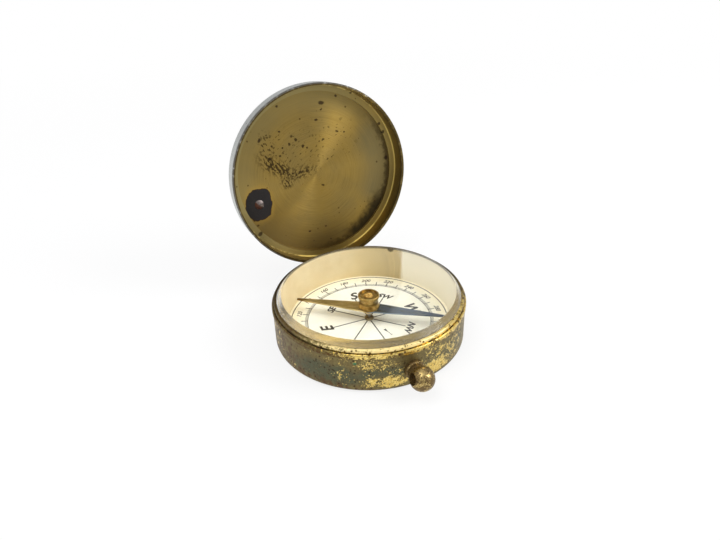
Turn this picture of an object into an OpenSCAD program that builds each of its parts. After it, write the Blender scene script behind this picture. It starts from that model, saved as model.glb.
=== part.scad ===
// Pocket compass in a brass drum case: a lid on a back hinge, a bevelled glass, a printed degree dial,
// a lance needle that swings on a steel point, and a ball pendant with a cross bore at the front.
// Millimetres, +Z up. The origin is the middle of the case's flat underside, on the axis of the needle.
// The hinge lies towards +Y and the pendant towards -Y. The lid stands open.

/* [Case] */
// Radius of the bezel's flange, the widest round of the case
case_r = 25; // [22:0.25:30]
// How far the drum's wall stands inside the flange
drum_setback = 0.2; // [0:0.05:0.5]
// Thickness of the drum's wall
wall_t = 0.9; // [0.7:0.05:1.1]
// Thickness of the drum's floor
floor_t = 1.2; // [0.6:0.05:1.4]
// Radius of the rounded edge at the foot of the drum
foot_round = 1.1; // [0.5:0.05:1.3]
// Height of the seam between the drum and the bezel
seam_z = 9.5; // [9:0.1:12]

/* [Bezel and glass] */
// Height of the flange that the lid shuts on
flange_h = 1.45; // [0.9:0.05:1.6]
// Radius that rounds the edges of the flange
flange_round = 0.35; // [0.1:0.05:0.4]
// Height of the shoulder above the flange
shoulder_h = 1; // [0.8:0.05:1.5]
// Width of the shoulder, from its edge to the glass
shoulder_w = 0.75; // [0.6:0.05:1.2]
// Radius that rounds the edge of the shoulder
shoulder_round = 0.3; // [0.1:0.05:0.5]
// How deep the foot of the glass sits below the shoulder
glass_sink = 0.25; // [0.2:0.05:0.4]
// Thickness of the glass
glass_t = 1.7; // [1.5:0.1:2.5]
// Height of the glass's upright edge, below the bevel
glass_edge = 0.35; // [0.2:0.05:0.6]
// Width of the glass's bevel, seen from above
bevel_w = 1.28; // [0.6:0.02:1.6]

/* [Dial] */
// Thickness of the metal plate under the card
plate_t = 1.25; // [0.5:0.05:1.3]
// Thickness of the printed card
card_t = 0.45; // [0.2:0.05:0.6]
// Width of the ledge, inside the bezel, that the glass rests on
glass_ledge = 0.7; // [0.4:0.05:0.8]
// Thickness of the liner ring that stands on the card
liner_t = 0.35; // [0.25:0.05:0.5]
// How far the liner flares outwards, from its foot to the glass
liner_flare = 1.2; // [1:0.05:1.6]
// Width of the liner's butt seam
liner_seam = 0.2; // [0.1:0.05:0.6]
// Direction of the liner's seam
liner_seam_az = 41; // [0:1:180]

/* [Needle] */
// Length of the needle, tip to tip
needle_len = 39.5; // [32:0.5:40.5]
// Width of the needle at its middle
needle_w = 4.5; // [4.3:0.1:5.4]
// Thickness of the needle
needle_t = 0.4; // [0.25:0.05:0.6]
// Height of the needle above the card
needle_lift = 3.2; // [2.4:0.1:3.6]
// Direction in which the needle's north end points
needle_az = -38; // [-180:1:180]
// Width of the needle's blunt tips
needle_tip = 0.5; // [0.2:0.05:0.8]
// Radius of the turned cap on the needle
cap_r = 2.8; // [2.5:0.05:3.2]
// Height of the cap above the needle
cap_h = 3.9; // [3.2:0.1:4.4]
// Depth of the waist around the cap
cap_waist = 0.35; // [0.1:0.05:0.5]
// Radius of the neck that carries the needle
neck_r = 1.5; // [1.35:0.05:1.7]
// Height of the lip that is turned over under the needle
grip_h = 0.4; // [0.3:0.05:0.7]
// Radius of the jewel in the cap
jewel_r = 1.15; // [1.1:0.05:1.3]
// Height of the jewel
jewel_h = 1.1; // [1:0.05:1.2]
// Depth of the dish in the cap's top
dish_d = 0.35; // [0.2:0.05:0.5]

/* [Pivot] */
// Radius of the steel pin
pin_r = 0.4; // [0.3:0.05:0.5]
// Radius of the brass boss that holds the pin
boss_r = 1.2; // [1.1:0.05:2]
// Height of the boss above the card
boss_h = 0.6; // [0.4:0.05:0.9]
// Length of the pin's ground point
point_h = 1.1; // [0.8:0.1:1.5]

/* [Lid] */
// How far the lid's wall stands outside the flange
lid_proud = 0.2; // [0:0.05:0.3]
// Thickness of the lid's sheet
lid_sheet = 0.7; // [0.5:0.05:0.9]
// Depth of the lid's inner wall, from its mouth to the ledge
lid_wall_h = 4.5; // [3.5:0.1:6]
// Width of the ledge round the lid's inner floor
step_w = 1.8; // [1.2:0.1:3]
// Height of the step from the ledge to the floor
step_h = 0.6; // [0.3:0.05:0.65]
// Radius that rounds the lid's outer edge
lid_round = 0.9; // [0.4:0.05:1.1]
// Angle at which the lid stands open
lid_open = 99; // [80:0.5:100]
// Gap between the shut lid and the flange
mouth_gap = 0.05; // [0.03:0.01:0.2]
// Radius of the solder drop on the lid's inner floor
drop_r = 1.3; // [0.8:0.1:2]
// Height of the solder drop
drop_h = 0.4; // [0.2:0.05:0.7]
// Distance of the solder drop's middle from the lid's step
drop_in = 4.1; // [2:0.1:12]
// Direction of the solder drop from the lid's middle, with the lid shut
drop_az = 162; // [0:1:360]

/* [Hinge] */
// Radius of the knuckles
knuckle_r = 0.7; // [0.6:0.05:0.8]
// How far the hinge's axis lies inside the lid's outer wall
hinge_inset = 1.1; // [0.9:0.05:1.2]
// How far the hinge's axis lies below the mouth of the shut lid
hinge_drop = 1.35; // [1.1:0.05:1.5]
// Length of the lid's knuckle
lid_knuckle = 4; // [3:0.1:6]
// Length of each of the case's two knuckles
case_knuckle = 3.8; // [2.5:0.1:5]
// Radius of the hinge pin
hinge_pin_r = 0.35; // [0.3:0.05:0.4]
// Height of the leaf that the lid's knuckle is soldered by
leaf_h = 2.2; // [1.5:0.1:3]
// How far that leaf stands outside the lid's wall
leaf_proud = 0.2; // [0.1:0.05:0.3]

/* [Pendant] */
// Radius of the ball
ball_r = 3; // [2.4:0.1:3.4]
// Radius of the bore across the ball
ball_bore_r = 1.45; // [1:0.05:1.6]
// Turn of the bore about the stem, with the end towards -X raised
bore_turn = 16; // [-45:1:45]
// Height of the pendant above the underside
pendant_z = 5.1; // [4.6:0.1:5.4]
// Radius of the collar at the wall
collar_r = 2.5; // [2.2:0.1:3]
// Thickness of the collar
collar_t = 1.1; // [0.8:0.1:1.8]
// Distance from the collar's face to the middle of the ball
ball_stand = 3; // [2.6:0.1:3.4]
// Radius of the neck between the collar and the ball
ball_neck_r = 1.9; // [1.5:0.05:2]
// Radius of the stem through the wall
stem_r = 1.2; // [0.8:0.05:1.4]
// Radius of the nut inside the wall
nut_r = 1.9; // [1.7:0.05:2.1]
// Thickness of the nut
nut_t = 0.8; // [0.5:0.05:1]

/* [Fits] */
// Gap all round between pieces that are pressed, cemented or soldered together
set_gap = 0.02; // [0.01:0.005:0.04]
// Gap all round between pieces that turn on each other
running_gap = 0.05; // [0.03:0.01:0.08]
// Gap kept between the hinge's knuckles and what they turn past
sweep_gap = 0.15; // [0.1:0.01:0.2]

/* [Hidden] */
$fn = 96;
// Overshoot of a cut past the face that it opens
past = 1;

// Case: the drum's wall, the bezel over it and the stack between the floor and the glass
drum_r = case_r - drum_setback;
drum_in = drum_r - wall_t;
flange_z = seam_z + flange_h;
shoulder_z = flange_z + shoulder_h;
lid_r = case_r + lid_proud;
lid_in = lid_r - lid_sheet;
shoulder_r = lid_in - running_gap;
rim_in = shoulder_r - shoulder_w;
glass_r = rim_in - set_gap;
glass_z = shoulder_z - glass_sink;
glass_top = glass_z + glass_t;
ledge_in = rim_in - glass_ledge;
liner_out = ledge_in - set_gap;
liner_foot = liner_out - liner_flare;
plate_r = drum_in - set_gap;
card_z = floor_t + plate_t + card_t;
// The bezel's spigot ends clear above the nut that holds the pendant
nut_clear = 0.4;
spigot_z = pendant_z + nut_r + nut_clear;

// Needle, its cap and the point that it turns on
needle_z = card_z + needle_lift;
cap_z = needle_z + needle_t;
cap_top = cap_z + cap_h;
cap_round = 0.3;
grip_w = 0.6;
grip_r = neck_r + grip_w;
jewel_z = cap_top - dish_d - jewel_h;
// Wide mouth and tip of the hollow in the jewel
jewel_wall = 0.35;
hollow_r = jewel_r - jewel_wall;
hollow_tip_r = 0.1;
hollow_h = jewel_h * 0.6;
pin_tip_r = hollow_tip_r - running_gap / 2;
pin_top = jewel_z + hollow_h - running_gap;
shank_wall = 0.5;
shank_r = pin_r + shank_wall;
well_gap = 0.1;
well_r = hollow_r + well_gap;

// Lid, in the place that it has when shut
mouth_z = flange_z + mouth_gap;
ledge_z = mouth_z + lid_wall_h;
lid_floor_z = ledge_z + step_h;
step_r = lid_in - step_w;
crown_r = step_r + lid_sheet;
crown_round = 0.4;

// Hinge: a barrel let into the bezel's flange and the top of the drum's wall
hinge_y = lid_r - hinge_inset;
hinge_z = mouth_z - hinge_drop;
knuckle_gap = 0.1;
case_knuckle_x = lid_knuckle / 2 + knuckle_gap;
hinge_half = case_knuckle_x + case_knuckle;
notch_half = hinge_half + sweep_gap;
notch_back = hinge_y - knuckle_r - sweep_gap;
notch_z = hinge_z - knuckle_r - sweep_gap;
// The leaf of the open lid lies lower than the barrel, in a deeper slot
slot_half = lid_knuckle / 2 + sweep_gap;
slot_z = hinge_z - hinge_inset - leaf_proud - 2 * sweep_gap;
leaf_top = mouth_z + leaf_h;

// Pendant, along -Y from the wall
collar_face = drum_r + collar_t;
ball_y = collar_face + ball_stand;
nut_face = sqrt(drum_in * drum_in - nut_r * nut_r) - set_gap;
stem_past = 0.3;
stem_end = nut_face - nut_t - stem_past;
collar_round = 0.5;

brass = [0.72, 0.60, 0.30];
dark_brass = [0.45, 0.40, 0.24];
pale_brass = [0.90, 0.82, 0.62];
steel = [0.62, 0.64, 0.67];

// Flat block with its outer corners rounded: x0 to x1, z0 to z1
module rounded_block(x0, x1, z0, z1, low, high) {
    translate([x0, z0 + low]) square([x1 - x0, z1 - z0 - low - high]);
    if (low > 0) {
        translate([x0, z0]) square([x1 - x0 - low, low]);
        translate([x1 - low, z0 + low]) circle(low);
    }
    if (high > 0) {
        translate([x0, z1 - high]) square([x1 - x0 - high, high]);
        translate([x1 - high, z1 - high]) circle(high);
    }
}

// Flat block between two radii and two heights
module band(x0, x1, z0, z1) {
    translate([x0, z0]) square([x1 - x0, z1 - z0]);
}

// Round bar along X, from x0 to x1, on the hinge's axis
module hinge_bar(r, x0, x1) {
    translate([x0, hinge_y, hinge_z]) rotate([0, 90, 0]) cylinder(r = r, h = x1 - x0);
}

// Round bar along -Y at the pendant's height, from y0 to y1 out from the axis
module pendant_bar(r, y0, y1) {
    translate([0, -y0, pendant_z]) rotate([90, 0, 0]) cylinder(r = r, h = y1 - y0);
}

// Turns a flat outline round the pendant's axis, with its second coordinate out from the case's axis
module pendant_turned() {
    translate([0, 0, pendant_z]) rotate([90, 0, 0]) rotate_extrude() children();
}

// Room for the hinge, cut up to the flange's top and outwards from y0
module hinge_notch(y0) {
    translate([-notch_half, y0, notch_z]) cube([2 * notch_half, case_r, flange_z - notch_z]);
    translate([-slot_half, y0, slot_z]) cube([2 * slot_half, case_r, flange_z - slot_z]);
}

// Turns what is drawn in the lid's shut place to where the lid stands open
module opened() {
    translate([0, hinge_y, hinge_z])
        rotate([-lid_open, 0, 0])
            translate([0, -hinge_y, -hinge_z])
                children();
}

// Case: turned drum, with its foot rounded, a hole for the pendant's stem and a notch for the hinge
module drum() {
    color(dark_brass) difference() {
        rotate_extrude() difference() {
            rounded_block(0, drum_r, 0, seam_z, foot_round, 0);
            band(0, drum_in, floor_t, seam_z + past);
        }
        pendant_bar(stem_r + set_gap, drum_in - past, drum_r + past);
        hinge_notch(0);
    }
}

// Bezel: flange, shoulder, ledge for the glass and a spigot that fits inside the drum
module bezel_ring() {
    color(brass) difference() {
        rotate_extrude() difference() {
            union() {
                rounded_block(ledge_in, case_r, seam_z, flange_z, flange_round, flange_round);
                rounded_block(ledge_in, shoulder_r, seam_z + flange_round, shoulder_z, 0, shoulder_round);
                band(ledge_in, drum_in - set_gap, spigot_z, seam_z + flange_round);
            }
            band(0, rim_in, glass_z, shoulder_z + past);
        }
        hinge_notch(notch_back);
    }
}

// Glass: flat on top and below, with a wide polished bevel
module glass() {
    color([0.85, 0.93, 0.95, 0.4]) rotate_extrude() polygon([
        [0, glass_z],
        [glass_r, glass_z],
        [glass_r, glass_z + glass_edge],
        [glass_r - bevel_w, glass_top],
        [0, glass_top]
    ]);
}

// Liner: bright strip bent to a flaring ring, butted at its seam, that holds the card down under the glass
module liner_ring() {
    liner_top = glass_z - set_gap;
    color(pale_brass) difference() {
        rotate_extrude() polygon([
            [liner_foot - liner_t, card_z],
            [liner_foot, card_z],
            [liner_out, liner_top],
            [liner_out - liner_t, liner_top]
        ]);
        rotate([0, 0, liner_seam_az])
            translate([liner_foot - liner_t - past, -liner_seam / 2, card_z - past])
                cube([liner_flare + liner_t + 2 * past, liner_seam, glass_z - card_z + 2 * past]);
    }
}

// Plate under the card, with a hole for the boss's shank
module dial_plate() {
    color(brass) rotate_extrude() band(shank_r + set_gap, plate_r, floor_t, floor_t + plate_t);
}

// Printed card, clamped at its edge by the liner
module dial_card() {
    color([0.98, 0.97, 0.90]) rotate_extrude() band(shank_r + set_gap, liner_foot, card_z - card_t, card_z);
}

// Boss: a shank through the card and the plate, and a flange on the card
module pivot_boss() {
    color(brass) rotate_extrude() {
        band(pin_r + set_gap, shank_r, floor_t, card_z);
        rounded_block(pin_r + set_gap, boss_r, card_z, card_z + boss_h, 0, boss_h / 2);
    }
}

// Pin: hard steel, ground to a point that the jewel rides on
module pivot_pin() {
    color(steel) {
        translate([0, 0, floor_t]) cylinder(r = pin_r, h = pin_top - point_h - floor_t);
        translate([0, 0, pin_top - point_h]) cylinder(r1 = pin_r, r2 = pin_tip_r, h = point_h);
    }
}

// Needle: one lozenge of flat steel with blunt tips and a hole for the cap's neck
module needle() {
    tip = needle_len / 2;
    color([0.25, 0.28, 0.36]) rotate([0, 0, needle_az]) translate([0, 0, needle_z])
        linear_extrude(needle_t) difference() {
            polygon([
                [tip, needle_tip / 2], [0, needle_w / 2], [-tip, needle_tip / 2],
                [-tip, -needle_tip / 2], [0, -needle_w / 2], [tip, -needle_tip / 2]
            ]);
            circle(neck_r + set_gap);
        }
}

// Cap: a turned spool with a waist, a dished top, a well for the pin and a lip that grips the needle
module needle_cap() {
    color(brass) rotate_extrude() difference() {
        union() {
            rounded_block(0, cap_r, cap_z, cap_top, cap_round, cap_round);
            band(0, neck_r, needle_z - grip_h, cap_z + cap_round);
            rounded_block(0, grip_r, needle_z - grip_h, needle_z, grip_h / 2, 0);
        }
        band(0, well_r, needle_z - grip_h - past, jewel_z);
        band(0, jewel_r + set_gap, jewel_z, cap_top + past);
        band(0, cap_r - 2 * cap_round, cap_top - dish_d, cap_top + past);
        waist_r = ((cap_h / 2 - 2 * cap_round) ^ 2 + cap_waist ^ 2) / (2 * cap_waist);
        translate([cap_r - cap_waist + waist_r, cap_z + cap_h / 2]) circle(waist_r);
    }
}

// Jewel: set in the cap, with a hollow below that rides on the pin's point
module cap_jewel() {
    color([0.75, 0.35, 0.30]) translate([0, 0, jewel_z]) difference() {
        cylinder(r = jewel_r, h = jewel_h);
        cylinder(r1 = hollow_r, r2 = hollow_tip_r, h = hollow_h);
    }
}

// Lid: drawn sheet with a stepped crown, notched at its mouth for the knuckle's leaf
module lid() {
    color(brass) opened() difference() {
        rotate_extrude() difference() {
            union() {
                rounded_block(0, lid_r, mouth_z, ledge_z + lid_sheet, 0, lid_round);
                rounded_block(0, crown_r, ledge_z, lid_floor_z + lid_sheet, 0, crown_round);
            }
            band(0, lid_in, mouth_z - past, ledge_z);
            band(0, step_r, mouth_z, lid_floor_z);
        }
        translate([-lid_knuckle / 2 - set_gap, 0, mouth_z - past])
            cube([lid_knuckle + 2 * set_gap, lid_r + past, leaf_h + set_gap + past]);
    }
}

// Drop of solder on the lid's inner floor
module lid_solder_drop() {
    dome_r = (drop_r * drop_r + drop_h * drop_h) / (2 * drop_h);
    color(steel) opened()
        rotate([0, 0, drop_az]) translate([step_r - drop_in, 0, lid_floor_z]) intersection() {
            translate([0, 0, dome_r - drop_h]) sphere(dome_r);
            translate([0, 0, -drop_h]) cylinder(r = 2 * drop_r, h = drop_h);
        }
}

// Case's half of the hinge: two knuckles on feet that are soldered into the bezel's notch
module hinge_case_knuckles() {
    color(brass) for (side = [0, 1]) mirror([side, 0, 0]) difference() {
        union() {
            hinge_bar(knuckle_r, case_knuckle_x, hinge_half);
            translate([case_knuckle_x, notch_back, hinge_z - knuckle_r])
                cube([case_knuckle, hinge_y - notch_back, 2 * knuckle_r]);
        }
        hinge_bar(hinge_pin_r + set_gap, case_knuckle_x - past, hinge_half + past);
    }
}

// Lid's half of the hinge: one knuckle on a curved leaf that is soldered into the lid's wall
module hinge_lid_knuckle() {
    color(brass) opened() difference() {
        union() {
            hinge_bar(knuckle_r, -lid_knuckle / 2, lid_knuckle / 2);
            intersection() {
                rotate_extrude() band(lid_in, lid_r + leaf_proud, hinge_z, leaf_top);
                translate([-lid_knuckle / 2, 0, hinge_z])
                    cube([lid_knuckle, lid_r + leaf_proud + past, leaf_top - hinge_z]);
            }
        }
        hinge_bar(hinge_pin_r + running_gap, -lid_knuckle / 2 - past, lid_knuckle / 2 + past);
    }
}

// Pin through all three knuckles, held by the case's two
module hinge_pin() {
    color(steel) hinge_bar(hinge_pin_r, -hinge_half, hinge_half);
}

// Pendant: a ball with a cross bore, turned in one with its neck and the stem through the wall
module pendant_ball() {
    color(brass) difference() {
        pendant_turned() {
            intersection() {
                translate([0, ball_y]) circle(ball_r);
                band(0, ball_r, collar_face, ball_y + ball_r);
            }
            band(0, ball_neck_r, collar_face, ball_y);
            band(0, stem_r, stem_end, ball_y);
        }
        translate([0, -ball_y, pendant_z]) rotate([0, 90 + bore_turn, 0])
            cylinder(r = ball_bore_r, h = 2 * (ball_r + past), center = true);
    }
}

// Collar round the stem, hollowed to sit on the drum's wall
module pendant_collar() {
    color(brass) difference() {
        pendant_turned() rounded_block(stem_r + set_gap, collar_r, drum_in, collar_face, 0, collar_round);
        cylinder(r = drum_r + set_gap, h = seam_z + past);
    }
}

// Nut on the stem, inside the wall
module pendant_nut() {
    color(brass) difference() {
        pendant_bar(nut_r, nut_face - nut_t, nut_face);
        pendant_bar(stem_r + set_gap, stem_end - past, drum_r);
    }
}

drum();
bezel_ring();
glass();
liner_ring();
dial_plate();
dial_card();
pivot_boss();
pivot_pin();
needle();
needle_cap();
cap_jewel();
lid();
lid_solder_drop();
hinge_case_knuckles();
hinge_lid_knuckle();
hinge_pin();
pendant_ball();
pendant_collar();
pendant_nut();
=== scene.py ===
"""Looks of a brass pocket compass: finishes on its solids, the printed dial, the glass and a plain studio."""

import logging
import math
from dataclasses import dataclass
from enum import Enum
from typing import Any, Callable, Optional, Sequence, Union

import bmesh
import bpy
from mathutils import Matrix, Vector


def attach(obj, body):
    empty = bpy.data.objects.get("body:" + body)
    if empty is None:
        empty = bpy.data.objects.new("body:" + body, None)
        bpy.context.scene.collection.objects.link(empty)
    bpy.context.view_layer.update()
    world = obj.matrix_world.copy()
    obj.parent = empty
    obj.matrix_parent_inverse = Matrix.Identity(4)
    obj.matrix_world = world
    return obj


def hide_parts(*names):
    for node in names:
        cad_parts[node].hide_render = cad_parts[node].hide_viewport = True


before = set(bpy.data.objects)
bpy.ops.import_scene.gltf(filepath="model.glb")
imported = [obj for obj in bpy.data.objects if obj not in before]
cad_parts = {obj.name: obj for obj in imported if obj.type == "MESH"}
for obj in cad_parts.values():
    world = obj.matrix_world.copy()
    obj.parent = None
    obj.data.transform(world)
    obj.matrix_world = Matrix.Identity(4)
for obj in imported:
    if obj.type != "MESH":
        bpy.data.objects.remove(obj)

LOG = logging.getLogger("compass")
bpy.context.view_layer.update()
MM = 0.001
ORIGIN = (0, 0, 0)
UPWARDS = (0, 0, 1)
ANY_HEIGHT = 1000.0
SOFT_EDGE = 0.1
FULL_TURN = 360
LETTER_TURN = -math.pi / 2
CAP_SHARE = 0.7
MERGE_GAP = 1e-6
LEVEL_GAP = 1e-7
FACING = 0.9
Piece = bpy.types.Object
Colour = tuple[float, float, float, float]
Shades = tuple[Colour, Colour]
Place = tuple[float, float, float]
Feed = Union["Wire", float, Sequence[float]]
Wires = dict[str, "Wire"]
Paint = dict[str, Feed]


def tone(red: int, green: int, blue: int) -> Colour:
    """Turns a screen colour into a linear one.

    Args:
        red: Red, 0 to 255.
        green: Green, 0 to 255.
        blue: Blue, 0 to 255.

    Returns:
        The colour in linear light, opaque.
    """
    def linear(level: float) -> float:
        """Linear value of one screen channel."""
        return level / 12.92 if level <= 0.04045 else ((level + 0.055) / 1.055) ** 2.4

    return (linear(red / 255), linear(green / 255), linear(blue / 255), 1.0)


def metres(*lengths: float) -> tuple[float, ...]:
    """Turns millimetres into metres."""
    return tuple(length * MM for length in lengths)


class Wire:
    """Value on its way through the nodes, with the usual signs for sums."""

    def __init__(self, graph: "Graph", socket: bpy.types.NodeSocket) -> None:
        """Keeps the graph, and the output that the value comes from."""
        self.graph = graph
        self.socket = socket

    def __add__(self, other: Feed) -> "Wire":
        """Sum of two numbers."""
        return self.graph.math("ADD", self, other)

    def __sub__(self, other: Feed) -> "Wire":
        """Difference of two numbers."""
        return self.graph.math("SUBTRACT", self, other)

    def __rsub__(self, other: Feed) -> "Wire":
        """Difference of a plain number and this one."""
        return self.graph.math("SUBTRACT", other, self)

    def __mul__(self, other: Feed) -> "Wire":
        """Product of two numbers."""
        return self.graph.math("MULTIPLY", self, other)

    def __truediv__(self, other: Feed) -> "Wire":
        """Quotient of two numbers."""
        return self.graph.math("DIVIDE", self, other)

    def __or__(self, other: Feed) -> "Wire":
        """Greater of two numbers."""
        return self.graph.math("MAXIMUM", self, other)


class Graph:
    """Node tree with short calls for the nodes that the finishes share."""

    def __init__(self, tree: bpy.types.NodeTree) -> None:
        """Keeps the tree that the nodes go into."""
        self.tree = tree

    @staticmethod
    def of(owner: Union[bpy.types.Material, bpy.types.World]) -> "Graph":
        """Empties the nodes of a material or world.

        Args:
            owner: The material or world.

        Returns:
            Its empty graph.
        """
        owner.use_nodes = True
        owner.node_tree.nodes.clear()
        return Graph(owner.node_tree)

    def add(self, kind: str, **settings: Any) -> bpy.types.Node:
        """Adds a node.

        Args:
            kind: Blender's name of the node type.
            settings: Properties of the node.

        Returns:
            The new node.
        """
        node = self.tree.nodes.new(kind)
        for key, value in settings.items():
            setattr(node, key, value)
        return node

    def feed(self, socket: bpy.types.NodeSocket, value: Feed) -> None:
        """Links an input to a value, or sets its constant.

        Args:
            socket: The input.
            value: What goes into it.
        """
        if isinstance(value, Wire):
            self.tree.links.new(value.socket, socket)
        else:
            socket.default_value = value

    def fill(self, node: bpy.types.Node, *firsts: Feed, **values: Feed) -> list[Wire]:
        """Feeds a node.

        Args:
            node: The node.
            firsts: What goes into its first inputs, in order.
            values: What goes into inputs by name, with _ for a space.

        Returns:
            The node's outputs.
        """
        for socket, value in zip(node.inputs, firsts):
            self.feed(socket, value)
        for key, value in values.items():
            self.feed(node.inputs[key.replace("_", " ")], value)
        return [Wire(self, socket) for socket in node.outputs]

    def math(self, operation: str, *numbers: Feed) -> Wire:
        """Does one sum with numbers, by Blender's name for it."""
        return self.fill(self.add("ShaderNodeMath", operation=operation), *numbers)[0]

    def vector(self, operation: str, *vectors: Feed) -> Wire:
        """Does one sum with vectors, by Blender's name for it."""
        return self.fill(self.add("ShaderNodeVectorMath", operation=operation), *vectors)[0]

    def scaled(self, vector: Feed, size: Feed) -> Wire:
        """Vector times a number."""
        return self.fill(self.add("ShaderNodeVectorMath", operation="SCALE"), vector, Scale=size)[0]

    def measure(self, operation: str, *vectors: Feed) -> Wire:
        """Does one sum that makes a number of vectors, by Blender's name for it."""
        return self.fill(self.add("ShaderNodeVectorMath", operation=operation), *vectors)[1]

    def split(self, point: Feed) -> list[Wire]:
        """Parts of a point along X, Y and Z."""
        return self.fill(self.add("ShaderNodeSeparateXYZ"), point)

    def turn_back(self, point: Feed, degrees: Wire) -> Wire:
        """Turns a point backwards about Z."""
        node = self.add("ShaderNodeVectorRotate", rotation_type="Z_AXIS")
        return self.fill(node, Vector=point, Angle=self.math("RADIANS", degrees * -1.0))[0]

    def step(self, value: Feed, low: Feed, high: Feed) -> Wire:
        """Smooth rise from 0 at low to 1 at high."""
        node = self.add("ShaderNodeMapRange", interpolation_type="SMOOTHSTEP")
        return self.fill(node, Value=value, From_Min=low, From_Max=high)[0]

    def fall(self, value: Feed, low: Feed, high: Feed) -> Wire:
        """Smooth fall from 1 at low to 0 at high."""
        return 1.0 - self.step(value, low, high)

    def past(self, value: Feed, limit: float, soft: float = SOFT_EDGE) -> Wire:
        """Smooth rise from 0 to 1 just past a limit."""
        return self.step(value, limit, limit + soft)

    def within(self, value: Feed, limit: float, soft: float = SOFT_EDGE) -> Wire:
        """Smooth fall from 1 to 0 just past a limit."""
        return 1.0 - self.past(value, limit, soft)

    def band(self, value: Feed, low: float, high: float, edge: float) -> Wire:
        """1 between low and high, with soft edges."""
        return self.step(value, low - edge, low + edge) * self.fall(value, high - edge, high + edge)

    def between(self, kind: str, inputs: dict[int, Feed], output: int) -> Wire:
        """Adds a mix of two values.

        Args:
            kind: Blender's name for their kind.
            inputs: The share of the second and both values, by the numbers of their sockets.
            output: Number of the output's socket.

        Returns:
            The mixed value.
        """
        node = self.add("ShaderNodeMix", data_type=kind)
        for index, value in inputs.items():
            self.feed(node.inputs[index], value)
        return Wire(self, node.outputs[output])

    def mix(self, share: Feed, first: Feed, second: Feed) -> Wire:
        """Mixes two colours, with a share of the second."""
        return self.between("RGBA", {0: share, 6: first, 7: second}, 2)

    def blend(self, share: Feed, first: Feed, second: Feed) -> Wire:
        """Mixes two numbers, with a share of the second."""
        return self.between("FLOAT", {0: share, 2: first, 3: second}, 0)

    def shade(self, value: Feed, low: float, high: float, first: Feed, second: Feed) -> Wire:
        """Colour that goes smoothly from the first at low to the second at high."""
        return self.mix(self.step(value, low, high), first, second)

    def noise(self, point: Feed, pitch: Feed, detail: Feed = 2.0, rough: Feed = 0.5) -> Wire:
        """Cloudy noise around 0.5: waves to a millimetre, number of finer layers and their strength."""
        node = self.add("ShaderNodeTexNoise")
        return self.fill(node, Vector=point, Scale=pitch, Detail=detail, Roughness=rough)[0]

    def source(self, kind: str, output: str) -> Wire:
        """One output of a new node, by Blender's names for both."""
        return Wire(self, self.add(kind).outputs[output])

    def where(self) -> Wire:
        """The point on the piece, in metres."""
        return self.source("ShaderNodeTexCoord", "Object")

    def place(self, shift: Place = ORIGIN, turn: Place = ORIGIN) -> Wire:
        """The point on the piece, in millimetres.

        Args:
            shift: What is added to the point, after the turn.
            turn: Turn about X, Y and Z, in degrees.

        Returns:
            The moved point.
        """
        angles = [math.radians(angle) for angle in turn]
        node = self.add("ShaderNodeMapping")
        return self.fill(node, Vector=self.where(), Location=shift, Rotation=angles, Scale=(1 / MM,) * 3)[0]

    def effect(self, effect: "Effect", **values: Feed) -> Wires:
        """Places a shared effect, with values for its inputs, and gives its outputs by name."""
        node = self.add("ShaderNodeGroup", node_tree=EFFECTS.tree(effect))
        return {wire.socket.name: wire for wire in self.fill(node, **values)}

    def mask(self, effect: "Effect", **values: Feed) -> Wire:
        """Places a shared effect for its mask alone."""
        return self.effect(effect, **values)["Mask"]

    def turned(self, point: Feed) -> list[Wire]:
        """Radius, angle in degrees and height of a point about Z."""
        return list(self.effect(Effect.TURNED, Point=point).values())

    def clouds(
            self, point: Feed, pitch: float, span: Sequence[float], detail: float = 4.0,
            rough: float = 0.6) -> list[Wire]:
        """Mask, which rises over a span of the grain, and grain of clouds."""
        values = dict(Pitch=pitch, Detail=detail, Roughness=rough, Low=span[0], High=span[1])
        return list(self.effect(Effect.CLOUDS, Point=point, **values).values())

    def bump(self, height: Feed, depth: float, strength: float = 1.0) -> Wire:
        """Bumps of a depth in millimetres."""
        node = self.add("ShaderNodeBump")
        return self.fill(node, Height=height, Distance=depth * MM, Strength=strength)[0]


class Effect(Enum):
    """Surface effects that several finishes share: name, and inputs beside the point with usual values."""

    TURNED = ("turned place", {})
    LINES = ("turning lines", {"Pitch": 7.0, "Drift": 0.003, "Detail": 3.0, "Roughness": 0.7})
    CLOUDS = ("clouds", {"Pitch": 1.6, "Detail": 4.0, "Roughness": 0.6, "Low": 0.4, "High": 0.75})
    PATCH = ("patch on a turned wall", {
        "Azimuth": 0.0, "Level": 0.0, "Half Angle": 10.0, "Half Height": 1.0, "Edge": 0.4})
    FLECKS = ("flecks", {"Pitch": 1.5, "Cover": 0.5, "Edge": 0.04})
    PITS = ("pits", {"Spacing": 1.5, "Size": 0.2, "Share": 0.5})
    STROKES = ("strokes", {"Turn": 0.0, "Length": 2.0, "Width": 0.15, "Cover": 0.5})
    MARK = ("mark", {
        "Centre": (0, 0, 0), "Half": (1, 1, 1), "Turn": 0.0, "Edge": 0.15, "Ragged": 0.3, "Grain": 2.3})


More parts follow.
